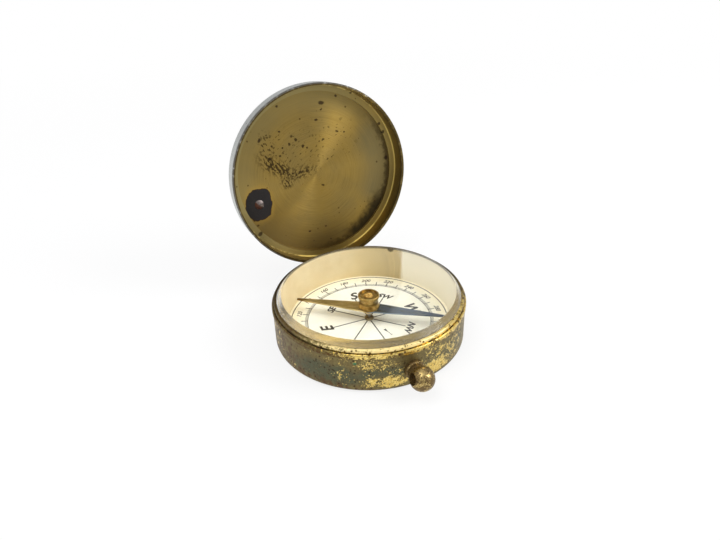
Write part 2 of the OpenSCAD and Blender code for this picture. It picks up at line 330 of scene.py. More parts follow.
class Effects:
    """Builds each shared effect once, as a node group."""

    def __init__(self) -> None:
        """Starts with no group built."""
        self.trees: dict[Effect, bpy.types.NodeTree] = {}

    def tree(self, effect: Effect) -> bpy.types.NodeTree:
        """The effect's node group, built on its first call.

        Args:
            effect: Which effect.

        Returns:
            The group.
        """
        if effect not in self.trees:
            name, inputs = effect.value
            tree = bpy.data.node_groups.new(name, "ShaderNodeTree")
            for key, value in {"Point": ORIGIN, **inputs}.items():
                kind = "NodeSocketFloat" if isinstance(value, float) else "NodeSocketVector"
                tree.interface.new_socket(key, in_out="INPUT", socket_type=kind).default_value = value
            graph = Graph(tree)
            given = {wire.socket.name: wire for wire in graph.fill(graph.add("NodeGroupInput"))}
            results = getattr(self, effect.name.lower())(graph, given)
            for key in results:
                tree.interface.new_socket(key, in_out="OUTPUT", socket_type="NodeSocketFloat")
            graph.fill(graph.add("NodeGroupOutput"), **results)
            self.trees[effect] = tree
        return self.trees[effect]

    def turned(self, graph: Graph, given: Wires) -> Wires:
        """Radius, angle in degrees and height of a point about Z.

        Args:
            graph: The group's nodes.
            given: Its inputs by name.

        Returns:
            Its outputs by name.
        """
        across, along, up = graph.split(given["Point"])
        angle = graph.math("DEGREES", graph.math("ARCTAN2", along, across))
        return {"Radius": graph.math("SQRT", across * across + along * along), "Angle": angle, "Height": up}

    def lines(self, graph: Graph, given: Wires) -> Wires:
        """Fine lines that a lathe leaves round Z.

        Args:
            graph: The group's nodes.
            given: Its inputs by name.

        Returns:
            Its outputs by name.
        """
        radius, angle, height = graph.turned(given["Point"])
        drawn = graph.fill(graph.add("ShaderNodeCombineXYZ"), radius + height, angle * given["Drift"])[0]
        return {"Mask": graph.noise(drawn, given["Pitch"], given["Detail"], given["Roughness"])}

    def clouds(self, graph: Graph, given: Wires) -> Wires:
        """Clouds that drift over a surface.

        Args:
            graph: The group's nodes.
            given: Its inputs by name.

        Returns:
            Its outputs by name.
        """
        grain = graph.noise(given["Point"], given["Pitch"], given["Detail"], given["Roughness"])
        mask = graph.step(grain, given["Low"], given["High"])
        return {"Mask": mask, "Grain": grain}

    def patch(self, graph: Graph, given: Wires) -> Wires:
        """Soft oval on a turned wall, given by its direction, height and half sizes.

        Args:
            graph: The group's nodes.
            given: Its inputs by name.

        Returns:
            Its outputs by name.
        """
        _, angle, height = graph.turned(graph.turn_back(given["Point"], given["Azimuth"]))
        across = angle / given["Half Angle"]
        up = (height - given["Level"]) / given["Half Height"]
        reach = graph.math("SQRT", across * across + up * up)
        return {"Mask": graph.fall(reach, 1.0 - given["Edge"], given["Edge"] + 1.0)}

    def flecks(self, graph: Graph, given: Wires) -> Wires:
        """Ragged flecks that fill more of the surface as their cover grows.

        Args:
            graph: The group's nodes.
            given: Its inputs by name.

        Returns:
            Its outputs by name.
        """
        coarse = graph.noise(given["Point"], given["Pitch"], 2.0, 0.55)
        fine = graph.noise(given["Point"], given["Pitch"] * 3.0, 2.0, 0.6)
        grain = graph.blend(0.55, coarse, fine)
        level = grain + (given["Cover"] - 0.5)
        return {"Mask": graph.step(level, 0.5 - given["Edge"], given["Edge"] + 0.5), "Grain": grain}

    def pits(self, graph: Graph, given: Wires) -> Wires:
        """Scattered round spots of mixed sizes.

        Args:
            graph: The group's nodes.
            given: Its inputs by name.

        Returns:
            Its outputs by name.
        """
        point, spacing = given["Point"], given["Spacing"]
        bent = graph.vector("ADD", point, self.wander(graph, point, 2.3, 0.25))
        cells = graph.add("ShaderNodeTexVoronoi")
        distance, chance = graph.fill(cells, Vector=bent, Scale=graph.math("DIVIDE", 1.0, spacing))[:2]
        first, second, _ = graph.split(chance)
        edge = given["Size"] * (second * 0.75 + 0.25)
        spot = graph.fall(distance * spacing, edge * 0.6, edge)
        return {"Mask": graph.math("LESS_THAN", first, given["Share"]) * spot}

    def strokes(self, graph: Graph, given: Wires) -> Wires:
        """Short straight scratches in one direction.

        Args:
            graph: The group's nodes.
            given: Its inputs by name.

        Returns:
            Its outputs by name.
        """
        along, across, _ = graph.split(graph.turn_back(given["Point"], given["Turn"]))
        drawn = graph.fill(
            graph.add("ShaderNodeCombineXYZ"), along / given["Length"], across / given["Width"])[0]
        level = graph.noise(drawn, 1.0, 1.0) + (given["Cover"] - 0.5)
        return {"Mask": graph.step(level, 0.5, 0.58)}

    def mark(self, graph: Graph, given: Wires) -> Wires:
        """One ragged oval mark in the X and Y of a flat face.

        Args:
            graph: The group's nodes.
            given: Its inputs by name.

        Returns:
            Its outputs by name.
        """
        ragged = self.wander(graph, given["Point"], given["Grain"], given["Ragged"])
        off = graph.vector("SUBTRACT", given["Point"], given["Centre"])
        flat = graph.vector("ADD", graph.vector("MULTIPLY", off, (1, 1, 0)), ragged)
        unit = graph.vector("DIVIDE", graph.turn_back(flat, given["Turn"]), given["Half"])
        reach = graph.measure("LENGTH", unit)
        return {"Mask": graph.fall(reach, 1.0 - given["Edge"], given["Edge"] + 1.0), "Reach": reach}

    @staticmethod
    def wander(graph: Graph, point: Feed, grain: Feed, size: Feed) -> Wire:
        """Random shift that makes an edge ragged: waves to a millimetre, and size in millimetres."""
        cloud = graph.fill(graph.add("ShaderNodeTexNoise"), Vector=point, Scale=grain, Detail=3.0)[1]
        return graph.scaled(graph.vector("SUBTRACT", cloud, (0.5, 0.5, 0.5)), size)


EFFECTS = Effects()


@dataclass(frozen=True)
class Finish:
    """A finish that one or more pieces wear."""

    name: str
    metallic: float = 1.0
    roughness: float = 0.4

    def make(self) -> bpy.types.Material:
        """Builds the material with its shader and paints it.

        Returns:
            The finished material.
        """
        material = bpy.data.materials.new(self.name)
        graph = Graph.of(material)
        shader = graph.add("ShaderNodeBsdfPrincipled")
        graph.fill(shader, Metallic=self.metallic, Roughness=self.roughness)
        graph.fill(shader, **self.paint(graph))
        graph.fill(graph.add("ShaderNodeOutputMaterial"), Surface=self.surface(graph, shader))
        return material

    def surface(self, graph: Graph, shader: bpy.types.Node) -> Wire:
        """What reaches the material's output."""
        return Wire(graph, shader.outputs[0])

    def paint(self, graph: Graph) -> Paint:
        """What feeds the shader's sockets, by their names with _ for a space."""
        raise NotImplementedError


@dataclass(frozen=True)
class Patch:
    """Soft oval on a turned wall: direction, height, half sizes, strength and softness of its edge."""

    azimuth: float
    level: float
    half_angle: float
    half_height: float
    weight: float = 1.0
    edge: float = 0.5

    def mask(self, graph: Graph, point: Feed) -> Wire:
        """Mask of the oval.

        Args:
            graph: The material's nodes.
            point: Place in millimetres.

        Returns:
            The mask.
        """
        return graph.mask(
            Effect.PATCH, Point=point, Azimuth=self.azimuth, Level=self.level, Half_Angle=self.half_angle,
            Half_Height=self.half_height, Edge=self.edge)

    @staticmethod
    def gather(graph: Graph, point: Feed, patches: Sequence["Patch"], start: Feed) -> Feed:
        """Adds the weights of several ovals to a value.

        Args:
            graph: The material's nodes.
            point: Place in millimetres.
            patches: The ovals.
            start: The value.

        Returns:
            The sum.
        """
        total = start
        for patch in patches:
            total = patch.mask(graph, point) * patch.weight + total
        return total


Patches = tuple[Patch, ...]


@dataclass(frozen=True)
class CaseBrass(Finish):
    """Brass under an olive and green patina that is rubbed away to bright flecks."""

    cover: float = 0.4
    pitch: float = 0.95
    patches: Patches = ()
    greens: Patches = ()
    browns: Patches = ()
    blooms: Patches = ()
    gold: Colour = tone(204, 170, 82)
    pale_gold: Colour = tone(244, 218, 134)
    olive: Colour = tone(126, 113, 70)
    green: Colour = tone(91, 94, 69)
    brown: Colour = tone(98, 74, 46)
    soot: Colour = tone(54, 46, 32)
    pit: Colour = tone(66, 52, 30)
    verdigris: Colour = tone(70, 130, 92)
    lacquer: Colour = tone(240, 222, 178)
    foot_brown: float = 1.3
    inside_r: float = 0.0

    def flecks(self, graph: Graph, point: Wire, broad: Wire, sway: float, edge: float) -> Wires:
        """Flecks of bare metal, more where the patina is rubbed and where the broad noise sways them."""
        cover = (broad - 0.5) * sway + Patch.gather(graph, point, self.patches, self.cover)
        return graph.effect(Effect.FLECKS, Point=point, Pitch=self.pitch, Cover=cover, Edge=edge)

    def paint(self, graph: Graph) -> Paint:
        """Lays patina over brass and rubs it away in flecks.

        Args:
            graph: The material's nodes.

        Returns:
            What feeds the shader.
        """
        point = graph.place()
        radius, _, height = graph.turned(point)
        broad = graph.noise(point, 0.22, 3.0)
        middle = graph.noise(point, 0.9, 4.0, 0.6)
        fine = graph.noise(point, 2.3, 3.0, 0.7)
        flecks = self.flecks(graph, point, broad, 0.35, 0.02)
        bare = flecks["Mask"]
        greens = Patch.gather(graph, point, self.greens, broad * 1.2 - 0.55)
        crust = graph.shade(greens, 0.05, 0.75, self.olive, self.green)
        browns = Patch.gather(graph, point, self.browns, graph.fall(height, 0.3, self.foot_brown) | 0.35)
        crust = graph.mix(graph.step(middle, 0.38, 0.6) * graph.step(browns, 0.0, 1.0), crust, self.brown)
        crust = graph.shade(fine, 0.5, 0.7, crust, graph.mix(0.5, crust, self.soot))
        metal = graph.shade(fine, 0.35, 0.65, self.gold, self.pale_gold)
        colour = graph.mix(bare, crust, metal)
        pits = graph.mask(Effect.PITS, Point=point, Spacing=0.8, Size=0.36, Share=0.6)
        colour = graph.mix(pits * 0.8, colour, self.pit)
        for spot in self.blooms:
            bloom = spot.mask(graph, point) * graph.step(middle, 0.3, 0.55)
            colour = graph.mix(bloom * spot.weight, colour, self.verdigris)
        metallic = graph.blend(bare, 0.72, 1.0)
        # Inside the drum the brass is clean of patina, and it is also made light and nearly matt as painted
        # light, so that the shaded gap at the liner's seam reads light
        if self.inside_r:
            inside = graph.within(radius, self.inside_r)
            colour = graph.mix(inside, colour, self.lacquer)
            metallic = graph.blend(inside, metallic, 0.1)
        relief = pits * -0.6 + (bare * -0.5 + flecks["Grain"])
        return dict(
            Base_Color=colour, Metallic=metallic,
            Roughness=pits * 0.15 + graph.blend(bare, 0.46, self.roughness),
            Normal=graph.bump(relief, 0.06, 0.6))


@dataclass(frozen=True)
class BezelBrass(CaseBrass):
    """Bright rubbed brass of the bezel, with brown spots, dark deposits in its corners, painted shade along
    the back of its rim and a painted highlight on the front of its shoulder.
    """

    crevices: tuple[tuple[float, float], ...] = ()
    # shaded: the back of the rim, darkened as painted shade
    shaded: Patch = Patch(70, 11.9, 100, 1.2, 1.0, 0.15)
    # bright: where the painted highlight lies, on the front of the shoulder
    bright: Patch = Patch(-108, 11.65, 44, 0.5, 1.0, 0.35)
    bore_r: float = 23.1
    ledge_r: float = 23.7
    rim_r: float = 23.74
    ledge_z: float = 11.45
    pit: Colour = tone(100, 66, 38)
    clean: Shades = (tone(204, 186, 134), tone(232, 214, 160))
    # glint: colour of the painted highlight on the shoulder
    glint: Colour = tone(255, 231, 160)
    grime: Colour = tone(58, 46, 30)

    def paint(self, graph: Graph) -> Paint:
        """Rubs flecks of the brass bare, leaves dark deposits in the corners, paints shade along the back of
        the rim and paints a highlight on the front of the shoulder.

        Args:
            graph: The material's nodes.

        Returns:
            What feeds the shader.
        """
        point = graph.place()
        radius, _, height = graph.turned(point)
        broad = graph.noise(point, 0.3, 3.0)
        middle = graph.noise(point, 1.3, 4.0, 0.6)
        flecks = self.flecks(graph, point, broad, 0.4, 0.04)
        bare = flecks["Mask"]
        crust = graph.shade(middle, 0.35, 0.65, self.olive, self.brown)
        metal = graph.shade(middle, 0.3, 0.7, self.gold, self.pale_gold)
        pits = graph.mask(Effect.PITS, Point=point, Spacing=0.8, Size=0.42, Share=0.6)
        colour = graph.mix(pits * 0.8, graph.mix(bare, crust, metal), self.pit)
        dirt_and_shade = pits * 0.3
        for line_r, line_z in self.crevices:
            near = graph.band(radius, line_r - 0.16, line_r + 0.16, 0.08)
            line = near * graph.band(height, line_z - 0.14, line_z + 0.14, 0.08)
            dirt_and_shade = dirt_and_shade | line * graph.step(middle, 0.35, 0.6)
        # Clean brass on the ledge under the glass and in the bore; the bore is also made light as painted
        # light, so that the gap at the liner's seam reads light
        ledge = graph.within(radius, self.ledge_r, 0.03)
        ledge = ledge * graph.past(height, self.ledge_z)
        clean = ledge | graph.within(radius, self.bore_r)
        colour = graph.mix(clean, colour, graph.mix(broad, *self.clean))
        # Painted highlight: the front of the shoulder is made light and nearly matt, broken by flecks, in
        # place of a lamp's shine
        glint = self.bright.mask(graph, point) * graph.past(radius, self.rim_r, 0.04)
        glint = glint * (bare * 0.9 | graph.step(middle, 0.4, 0.55)) * (1.0 - pits)
        colour = graph.mix(glint, colour, self.glint)
        # Painted shade: the top of the rim is darkened along the back, over the deposits in the crevices and
        # pits
        back = self.shaded.mask(graph, point) * graph.step(height, self.ledge_z - 0.05, self.ledge_z + 0.05)
        dirt_and_shade = dirt_and_shade | back * graph.blend(middle, 0.65, 1.0)
        return dict(
            Base_Color=graph.mix(dirt_and_shade, colour, self.grime),
            Metallic=glint * -0.85 + graph.blend(dirt_and_shade, 1.0, 0.85),
            Roughness=graph.blend(bare, 0.5, self.roughness),
            Normal=graph.bump(dirt_and_shade * -0.7 + flecks["Grain"], 0.05, 0.5))


@dataclass(frozen=True)
class LidPlaces:
    """Places, masks and noises that the layers of the lid's finish share."""

    graph: Graph
    point: Wire
    radius: Wire
    height: Wire
    floor: Wire
    outside: Wire
    broad: Wire
    middle: Wire
    rings: Wire

    def side(self, azimuth: float, half_angle: float) -> Wire:
        """Soft mask of one side of the lid, at any height."""
        return Patch(azimuth, 0.0, half_angle, ANY_HEIGHT, edge=0.35).mask(self.graph, self.point)


@dataclass(frozen=True)
class Mark:
    """Ragged oval on the lid's floor: middle, half sizes, turn, and the turn and cover of its scratches."""

    across: float
    along: float
    half_across: float
    half_along: float
    turn: float = 0.0
    stroke_turn: float = 0.0
    cover: float = 0.0

    def lay(self, at: LidPlaces, **wear: float) -> Wires:
        """Lays the oval.

        Args:
            at: What the lid's layers share.
            wear: Edge, raggedness and grain.

        Returns:
            Its mask and reach.
        """
        return at.graph.effect(
            Effect.MARK, Point=at.point, Centre=(self.across, self.along, 0),
            Half=(self.half_across, self.half_along, 1), Turn=self.turn, **wear)


@dataclass(frozen=True)
class LidBrass(Finish):
    """Spun brass of the lid: turned rings inside, old stains and scratches, painted shade and a painted
    highlight in the floor's corner, and a worn outside with a painted silver reflection on one side.
    """

    open_angle: float = 99.0
    hinge: tuple[float, float] = (24.1, 9.65)
    middle: Place = (0, 34.241, 32.444)
    floor_z: float = 16.1
    lip_z: float = 11.2
    step_r: float = 22.7
    shoulder_r: float = 23.0
    wall_r: float = 24.5
    outer_r: float = 24.8
    stretch: float = 0.88
    # Side of the outer wall that carries the painted silver reflection
    plated: tuple[float, float] = (212.0, 85.0)
    # dulled and pooled: sides of the floor where its outer corner gets painted shade
    dulled: tuple[float, float] = (28.0, 62.0)
    pooled: tuple[float, float] = (48.0, 20.0)
    # ledge_turn and ledge_shades: the ledge is lighter on one side, as painted light
    ledge_turn: tuple[float, float] = (30.0, 85.0)
    floor_shades: Shades = (tone(150, 124, 62), tone(130, 111, 64))
    back_shades: Shades = (tone(168, 146, 88), tone(146, 126, 75))
    # silver: shades of the painted reflection on the outer wall
    silver: Shades = (tone(206, 208, 204), tone(180, 184, 182))
    ledge_shades: Shades = (tone(164, 150, 100), tone(178, 156, 90))
    ash: Shades = (tone(36, 33, 33), tone(52, 48, 47))
    floor_ring: Colour = tone(186, 156, 84)
    back_ring: Colour = tone(190, 166, 100)
    # glint: colour of the painted highlight along the floor's corner
    glint: Colour = tone(246, 226, 142)
    grime: Colour = tone(66, 54, 30)
    # pool: colour of the darkest painted shade in the corner
    pool: Colour = tone(38, 36, 29)
    scratch: Colour = tone(60, 47, 28)
    pit: Colour = tone(66, 48, 28)
    spot: Colour = tone(52, 38, 28)
    halo: Colour = tone(176, 142, 66)
    rim: Colour = tone(70, 50, 34)
    tints: tuple[tuple[float, float, float, float, Colour], ...] = (
        (215.0, 95.0, 15.0, 22.0, tone(148, 132, 84)),
        (0.0, 34.0, 10.0, 20.0, tone(126, 117, 84)),
        (115.0, 42.0, 10.0, 20.0, tone(112, 91, 50)),
    )
    # glints: sides where the painted highlight along the corner is strongest, with their weights
    glints: tuple[tuple[float, float, float], ...] = ((59.0, 11.0, 1.0), (104.0, 7.0, 1.0), (6.0, 44.0, 0.7))
    scratches: tuple[Mark, ...] = (
        Mark(-11.0, -3.4, 5.6, 2.0, 36, 60, 0.58), Mark(-5.0, -1.0, 4.8, 1.6, -4, -40, 0.54),
        Mark(-6.0, -8.0, 8.5, 5.0, 10, -35, 0.41), Mark(5.0, -8.5, 6.5, 6.0, 0, -20, 0.37),
        Mark(-13.5, -8.5, 2.0, 4.5, 0, 60, 0.47), Mark(-9.0, 1.2, 1.6, 1.6, 0, 80, 0.55),
    )
    spots: tuple[Mark, ...] = (
        Mark(3.69, -19.13, 0.85, 0.5, 10), Mark(1.68, -14.8, 0.5, 0.3), Mark(8.17, -20.4, 0.42, 0.35, 40),
        Mark(-18.83, 13.93, 0.75, 0.5, -40), Mark(1.51, 3.67, 0.5, 0.28, 25), Mark(-4.11, 16.49, 0.4, 0.25),
        Mark(22.0, -0.75, 0.5, 0.6), Mark(21.4, -8.5, 0.4, 0.5, 30), Mark(7.5, -10.8, 0.5, 0.25, 20),
        Mark(9.6, -10.25, 0.28, 0.25), Mark(-15.1, -11.7, 0.4, 0.6, 30), Mark(12.5, -20.7, 0.4, 0.3),
        Mark(-8.95, -19.9, 0.35, 0.3), Mark(-9.26, -13.2, 0.35, 0.25), Mark(-19.0, 11.6, 0.4, 0.25),
        Mark(0.96, 16.0, 0.3, 0.2), Mark(3.4, -17.3, 0.28, 0.2), Mark(20.3, -11.0, 0.45, 0.4, 10),
    )
    stain: Mark = Mark(-17.7, 5.8, 3.75, 4.45, 12.0)

    def survey(self, graph: Graph) -> LidPlaces:
        """Finds the place with the lid shut, the faces of the lid and the noises on them.

        Args:
            graph: The material's nodes.

        Returns:
            What the layers share.
        """
        hinge_y, hinge_z = self.hinge
        angle = math.radians(self.open_angle)
        shift = (
            0.0,
            hinge_y - hinge_y * math.cos(angle) + hinge_z * math.sin(angle),
            hinge_z - hinge_y * math.sin(angle) - hinge_z * math.cos(angle))
        point = graph.place(shift, (self.open_angle, 0, 0))
        radius, _, height = graph.turned(point)
        top = self.floor_z
        floor = graph.fall(radius, self.step_r - 0.1, self.step_r)
        floor = floor * graph.fall(height, top + 0.15, top + 0.25)
        outside = graph.past(radius, self.outer_r)
        outside = outside | graph.step(height, top + 0.25, top + 0.35)
        shoulder = graph.past(radius, self.shoulder_r)
        outside = outside | shoulder * graph.step(height, top - 0.25, top - 0.15)
        return LidPlaces(
            graph, point, radius, height, floor, outside, graph.noise(point, 0.11, 3.0),
            graph.noise(point, 0.7, 4.0, 0.6),
            graph.mask(Effect.LINES, Point=point, Pitch=5.5, Drift=0.004, Detail=4.0, Roughness=0.75))

    def sheen(self, graph: Graph) -> Wire:
        """Direction outwards from the lid's middle, which rings from the lathe stretch the shine along.

        Args:
            graph: The material's nodes.

        Returns:
            The direction.
        """
        angle = math.radians(self.open_angle)
        axis = (0.0, math.sin(angle), math.cos(angle))
        out = graph.vector("SUBTRACT", graph.where(), metres(*self.middle))
        along = graph.measure("DOT_PRODUCT", out, axis)
        flat = graph.vector("SUBTRACT", out, graph.scaled(axis, along))
        world = graph.add(
            "ShaderNodeVectorTransform", vector_type="VECTOR", convert_from="OBJECT", convert_to="WORLD")
        return graph.fill(world, graph.vector("NORMALIZE", flat))[0]

    def inner(self, at: LidPlaces) -> Wire:
        """Colour of the inside, ringed and dulled by sides.

        Args:
            at: What the layers share.

        Returns:
            The colour.
        """
        graph = at.graph
        colour = graph.shade(at.broad, 0.3, 0.7, *self.floor_shades)
        colour = graph.shade(at.rings, 0.3, 0.75, colour, graph.mix(0.45, colour, self.floor_ring))
        for azimuth, half_angle, start, end, shade in self.tints:
            near = graph.step(at.radius, start, end) * at.side(azimuth, half_angle)
            colour = graph.mix(near * 0.6, colour, shade)
        return colour

    def outer(self, at: LidPlaces) -> Wire:
        """Colour of the outside: turned brass, with a silver band on one side of the wall, rubbed through in
        flecks, painted as the reflection of the white surroundings.

        Args:
            at: What the layers share.

        Returns:
            The colour.
        """
        graph = at.graph
        worn = graph.shade(at.broad, 0.3, 0.7, *self.back_shades)
        worn = graph.mix(graph.step(at.rings, 0.35, 0.7) * 0.7, worn, self.back_ring)
        # Painted reflection: silver on one side of the wall, broken by flecks of brass, stands in for the
        # white surroundings seen at a grazing angle
        cover = graph.blend(at.side(*self.plated), 0.68, 0.2)
        silver_gaps = graph.mask(Effect.FLECKS, Point=at.point, Pitch=0.7, Cover=cover, Edge=0.04)
        plated = graph.mix(silver_gaps, graph.mix(at.middle, *self.silver), worn)
        wall = graph.step(at.radius, self.wall_r - 0.2, self.wall_r)
        return graph.mix(wall * graph.fall(at.height, self.floor_z + 0.1, self.floor_z + 0.5), worn, plated)

    def tarnish(self, at: LidPlaces, colour: Wire) -> Wire:
        """Adds painted shade in the floor's outer corner, dark deposits along the wall and the mouth, and a
        cloud of short scratches.

        Args:
            at: What the layers share.
            colour: Colour so far.

        Returns:
            The colour with the tarnish on it.
        """
        graph = at.graph
        # Painted shade: a dark band in the floor's outer corner on one side and a darker patch of it further
        # in; the wall and the mouth get dark deposits
        edge = (at.middle - 0.5) * 4.0 + at.radius
        corner = graph.step(edge, 20.6, 22.4) * at.side(*self.dulled)
        pool = graph.step(edge, 18.0, 22.0) * at.side(*self.pooled)
        wall = graph.band(at.radius, self.wall_r - 0.1, self.wall_r + 0.1, 0.05)
        lip = graph.within(at.height, self.lip_z, 0.7) * graph.step(at.middle, 0.2, 0.5)
        colour = graph.mix((corner | pool) * at.floor * 0.8 | wall * 0.15 | lip * 0.8, colour, self.grime)
        colour = graph.mix(pool * at.floor * 0.7, colour, self.pool)
        for mark in self.scratches:
            near = mark.lay(at, Edge=0.6, Ragged=1.5)["Mask"]
            strokes = graph.mask(
                Effect.STROKES, Point=at.point, Turn=mark.stroke_turn, Length=1.2, Width=0.55,
                Cover=mark.cover - 0.04)
            blots = graph.mask(
                Effect.PITS, Point=at.point, Spacing=1.0, Size=0.75, Share=2.4 * mark.cover - 0.82)
            colour = graph.mix(near * (strokes | blots) * at.floor * 0.9, colour, self.scratch)
        pits = graph.mask(Effect.PITS, Point=at.point, Spacing=1.7, Size=0.36, Share=0.36)
        return graph.mix(pits * 0.7, colour, self.pit)

    def stains(self, at: LidPlaces, colour: Wire) -> tuple[Wire, Wire]:
        """Adds the single dark spots and the burnt ring around the solder drop.

        Args:
            at: What the layers share.
            colour: Colour so far.

        Returns:
            The colour, and the mask of the burnt ring.
        """
        graph = at.graph
        for mark in self.spots:
            colour = graph.mix(mark.lay(at, Edge=0.3, Ragged=0.35)["Mask"] * 0.85, colour, self.spot)
        burn = self.stain.lay(at, Edge=0.03, Ragged=1.9, Grain=0.4)
        colour = graph.mix(graph.fall(burn["Reach"], 1.0, 1.45) * at.floor * 0.45, colour, self.halo)
        colour = graph.mix(graph.fall(burn["Reach"], 1.02, 1.07) * at.floor, colour, self.rim)
        burnt = burn["Mask"] * at.floor
        return graph.mix(burnt, colour, graph.mix(graph.noise(at.point, 1.8, 3.0), *self.ash)), burnt

    def paint(self, graph: Graph) -> Paint:
        """Lays the turned rings, a ledge with a painted lit side, then tarnish with painted shade, a painted
        highlight along the corner, scratches, spots and the stain.

        Args:
            graph: The material's nodes.

        Returns:
            What feeds the shader.
        """
        at = self.survey(graph)
        colour = graph.mix(at.outside, self.inner(at), self.outer(at))
        # The ledge, lighter on one side as painted light
        ledge = graph.band(at.radius, self.step_r, self.wall_r - 0.15, 0.08) * graph.fall(at.outside, 0, 0.5)
        colour = graph.mix(ledge * 0.7, colour, graph.mix(at.side(*self.ledge_turn), *self.ledge_shades))
        # Painted highlight: a bright line along the floor's outer corner, broken by noise and strongest on
        # the listed sides
        glint = graph.step(at.middle, 0.42, 0.62) * 0.5
        for azimuth, half_angle, weight in self.glints:
            glint = glint | at.side(azimuth, half_angle) * weight
        corner = graph.band(at.radius, self.wall_r - 0.3, self.wall_r + 0.05, 0.06) * glint
        corner = corner * graph.band(at.height, self.floor_z - 0.85, self.floor_z - 0.5, 0.05)
        colour = graph.mix(corner, self.tarnish(at, colour), self.glint)
        colour, burnt = self.stains(at, colour)
        return dict(
            Base_Color=colour, Metallic=corner * -0.45 + graph.blend(burnt, 1.0, 0.45),
            Roughness=graph.blend(burnt, at.rings * 0.1 + self.roughness, 0.6),
            Normal=graph.bump(burnt * 0.8 + at.rings, 0.02, 0.35),
            Tangent=self.sheen(graph), Anisotropic=self.stretch)


@dataclass(frozen=True)
class LinerBrass(Finish):
    """Pale lacquered strip of the liner, a shade darker on one side of its seam, with painted light on the
    other side and painted shade along its top at the back.
    """

    seam: float = 41.0
    soft_end: float = 87.0
    lacquer: Shades = (tone(230, 212, 172), tone(224, 204, 162))
    shade: Colour = tone(210, 191, 148)
    # pale: colour of the painted light on the side before the seam
    pale: Colour = tone(254, 248, 228)
    grime: Colour = tone(66, 56, 42)
    # Patches of painted shade along the top of the strip at the back, where it meets the bezel
    grimy: Patches = (Patch(70, 11.68, 100, 0.22, 0.75, 0.3), Patch(49, 11.68, 2.4, 0.95, 0.9, 0.3))

    def paint(self, graph: Graph) -> Paint:
        """Shades the strip along its length.

        Args:
            graph: The material's nodes.

        Returns:
            What feeds the shader.
        """
        point = graph.place()
        angle = graph.turned(point)[1]
        colour = graph.mix(graph.clouds(point, 0.25, (0.3, 0.7), 3.0, 0.5)[0], *self.lacquer)
        dark = graph.past(angle, self.seam, 0.4)
        dark = dark * graph.fall(angle, self.seam + 20, self.soft_end)
        colour = graph.mix(dark, colour, self.shade)
        # Painted light: the side before the seam is made lighter
        pale = graph.fall(angle, self.seam - 2, self.seam) * graph.step(angle, -60, -10)
        colour = graph.mix(pale * 0.9, colour, self.pale)
        # Painted shade along the top of the strip at the back
        for patch in self.grimy:
            colour = graph.mix(patch.mask(graph, point) * patch.weight, colour, self.grime)
        streaks = graph.noise(graph.vector("MULTIPLY", point, (0.3, 0.3, 6)), 1.0, 3.0)
        return dict(
            Base_Color=colour, Roughness=streaks * 0.15 + self.roughness,
            Normal=graph.bump(streaks, 0.01, 0.2))


@dataclass(frozen=True)
class Paper(Finish):
    """Old printed card: warm white, a little foxed, yellower and a little darker towards its edge."""

    edge_r: float = 21.5
    shades: Shades = (tone(252, 249, 235), tone(248, 243, 222))
    yellowed: Colour = tone(250, 240, 208)
    foxed: Colour = tone(206, 178, 124)

    def paint(self, graph: Graph) -> Paint:
        """Tints the card and gives it its fibres.

        Args:
            graph: The material's nodes.

        Returns:
            What feeds the shader.
        """
        point = graph.place()
        colour = graph.mix(graph.clouds(point, 0.18, (0.35, 0.75))[0], *self.shades)
        edge = graph.step(graph.turned(point)[0], self.edge_r - 6, self.edge_r)
        colour = graph.mix(edge, colour, self.yellowed)
        foxing = graph.mask(Effect.PITS, Point=point, Spacing=2.6, Size=0.25, Share=0.18)
        fibre = graph.noise(point, 9.0, 3.0, 0.7)
        return dict(
            Base_Color=graph.mix(foxing * 0.25, colour, self.foxed), Roughness=fibre * 0.15 + self.roughness,
            Normal=graph.bump(fibre, 0.01, 0.3))


@dataclass(frozen=True)
class Clouded(Finish):
    """Two shades that drift into each other. As given, they are steel with a faint brown tarnish."""

    shades: Shades = (tone(176, 178, 180), tone(120, 100, 76))
    span: tuple[float, float] = (0.4, 0.75)
    stretch: Place = (1.0, 1.0, 1.0)
    pitch: float = 1.6
    detail: float = 4.0
    rough: float = 0.6
    dulling: float = 0.3
    coat: float = 0.0

    def paint(self, graph: Graph) -> Paint:
        """Clouds the surface.

        Args:
            graph: The material's nodes.

        Returns:
            What feeds the shader.
        """
        point = graph.vector("MULTIPLY", graph.place(), self.stretch)
        mask, grain = graph.clouds(point, self.pitch, self.span, self.detail, self.rough)
        return dict(
            Base_Color=graph.mix(mask, *self.shades), Roughness=grain * self.dulling + self.roughness,
            Coat_Weight=self.coat)


@dataclass(frozen=True)
class Ink(Clouded):
    """Black print, thinner here and there."""

    shades: Shades = (tone(40, 37, 34), tone(104, 98, 86))
    span: tuple[float, float] = (0.45, 0.8)
    pitch: float = 3.0
    rough: float = 0.65
    dulling: float = 0.2


@dataclass(frozen=True)
class Agate(Clouded):
    """Honey-coloured jewel, banded a little."""

    shades: Shades = (tone(214, 172, 92), tone(158, 108, 44))
    span: tuple[float, float] = (0.35, 0.65)
    stretch: Place = (1.0, 0.4, 0.4)
    pitch: float = 2.4
    detail: float = 3.0
    rough: float = 0.5
    dulling: float = 0.1
    coat: float = 0.6


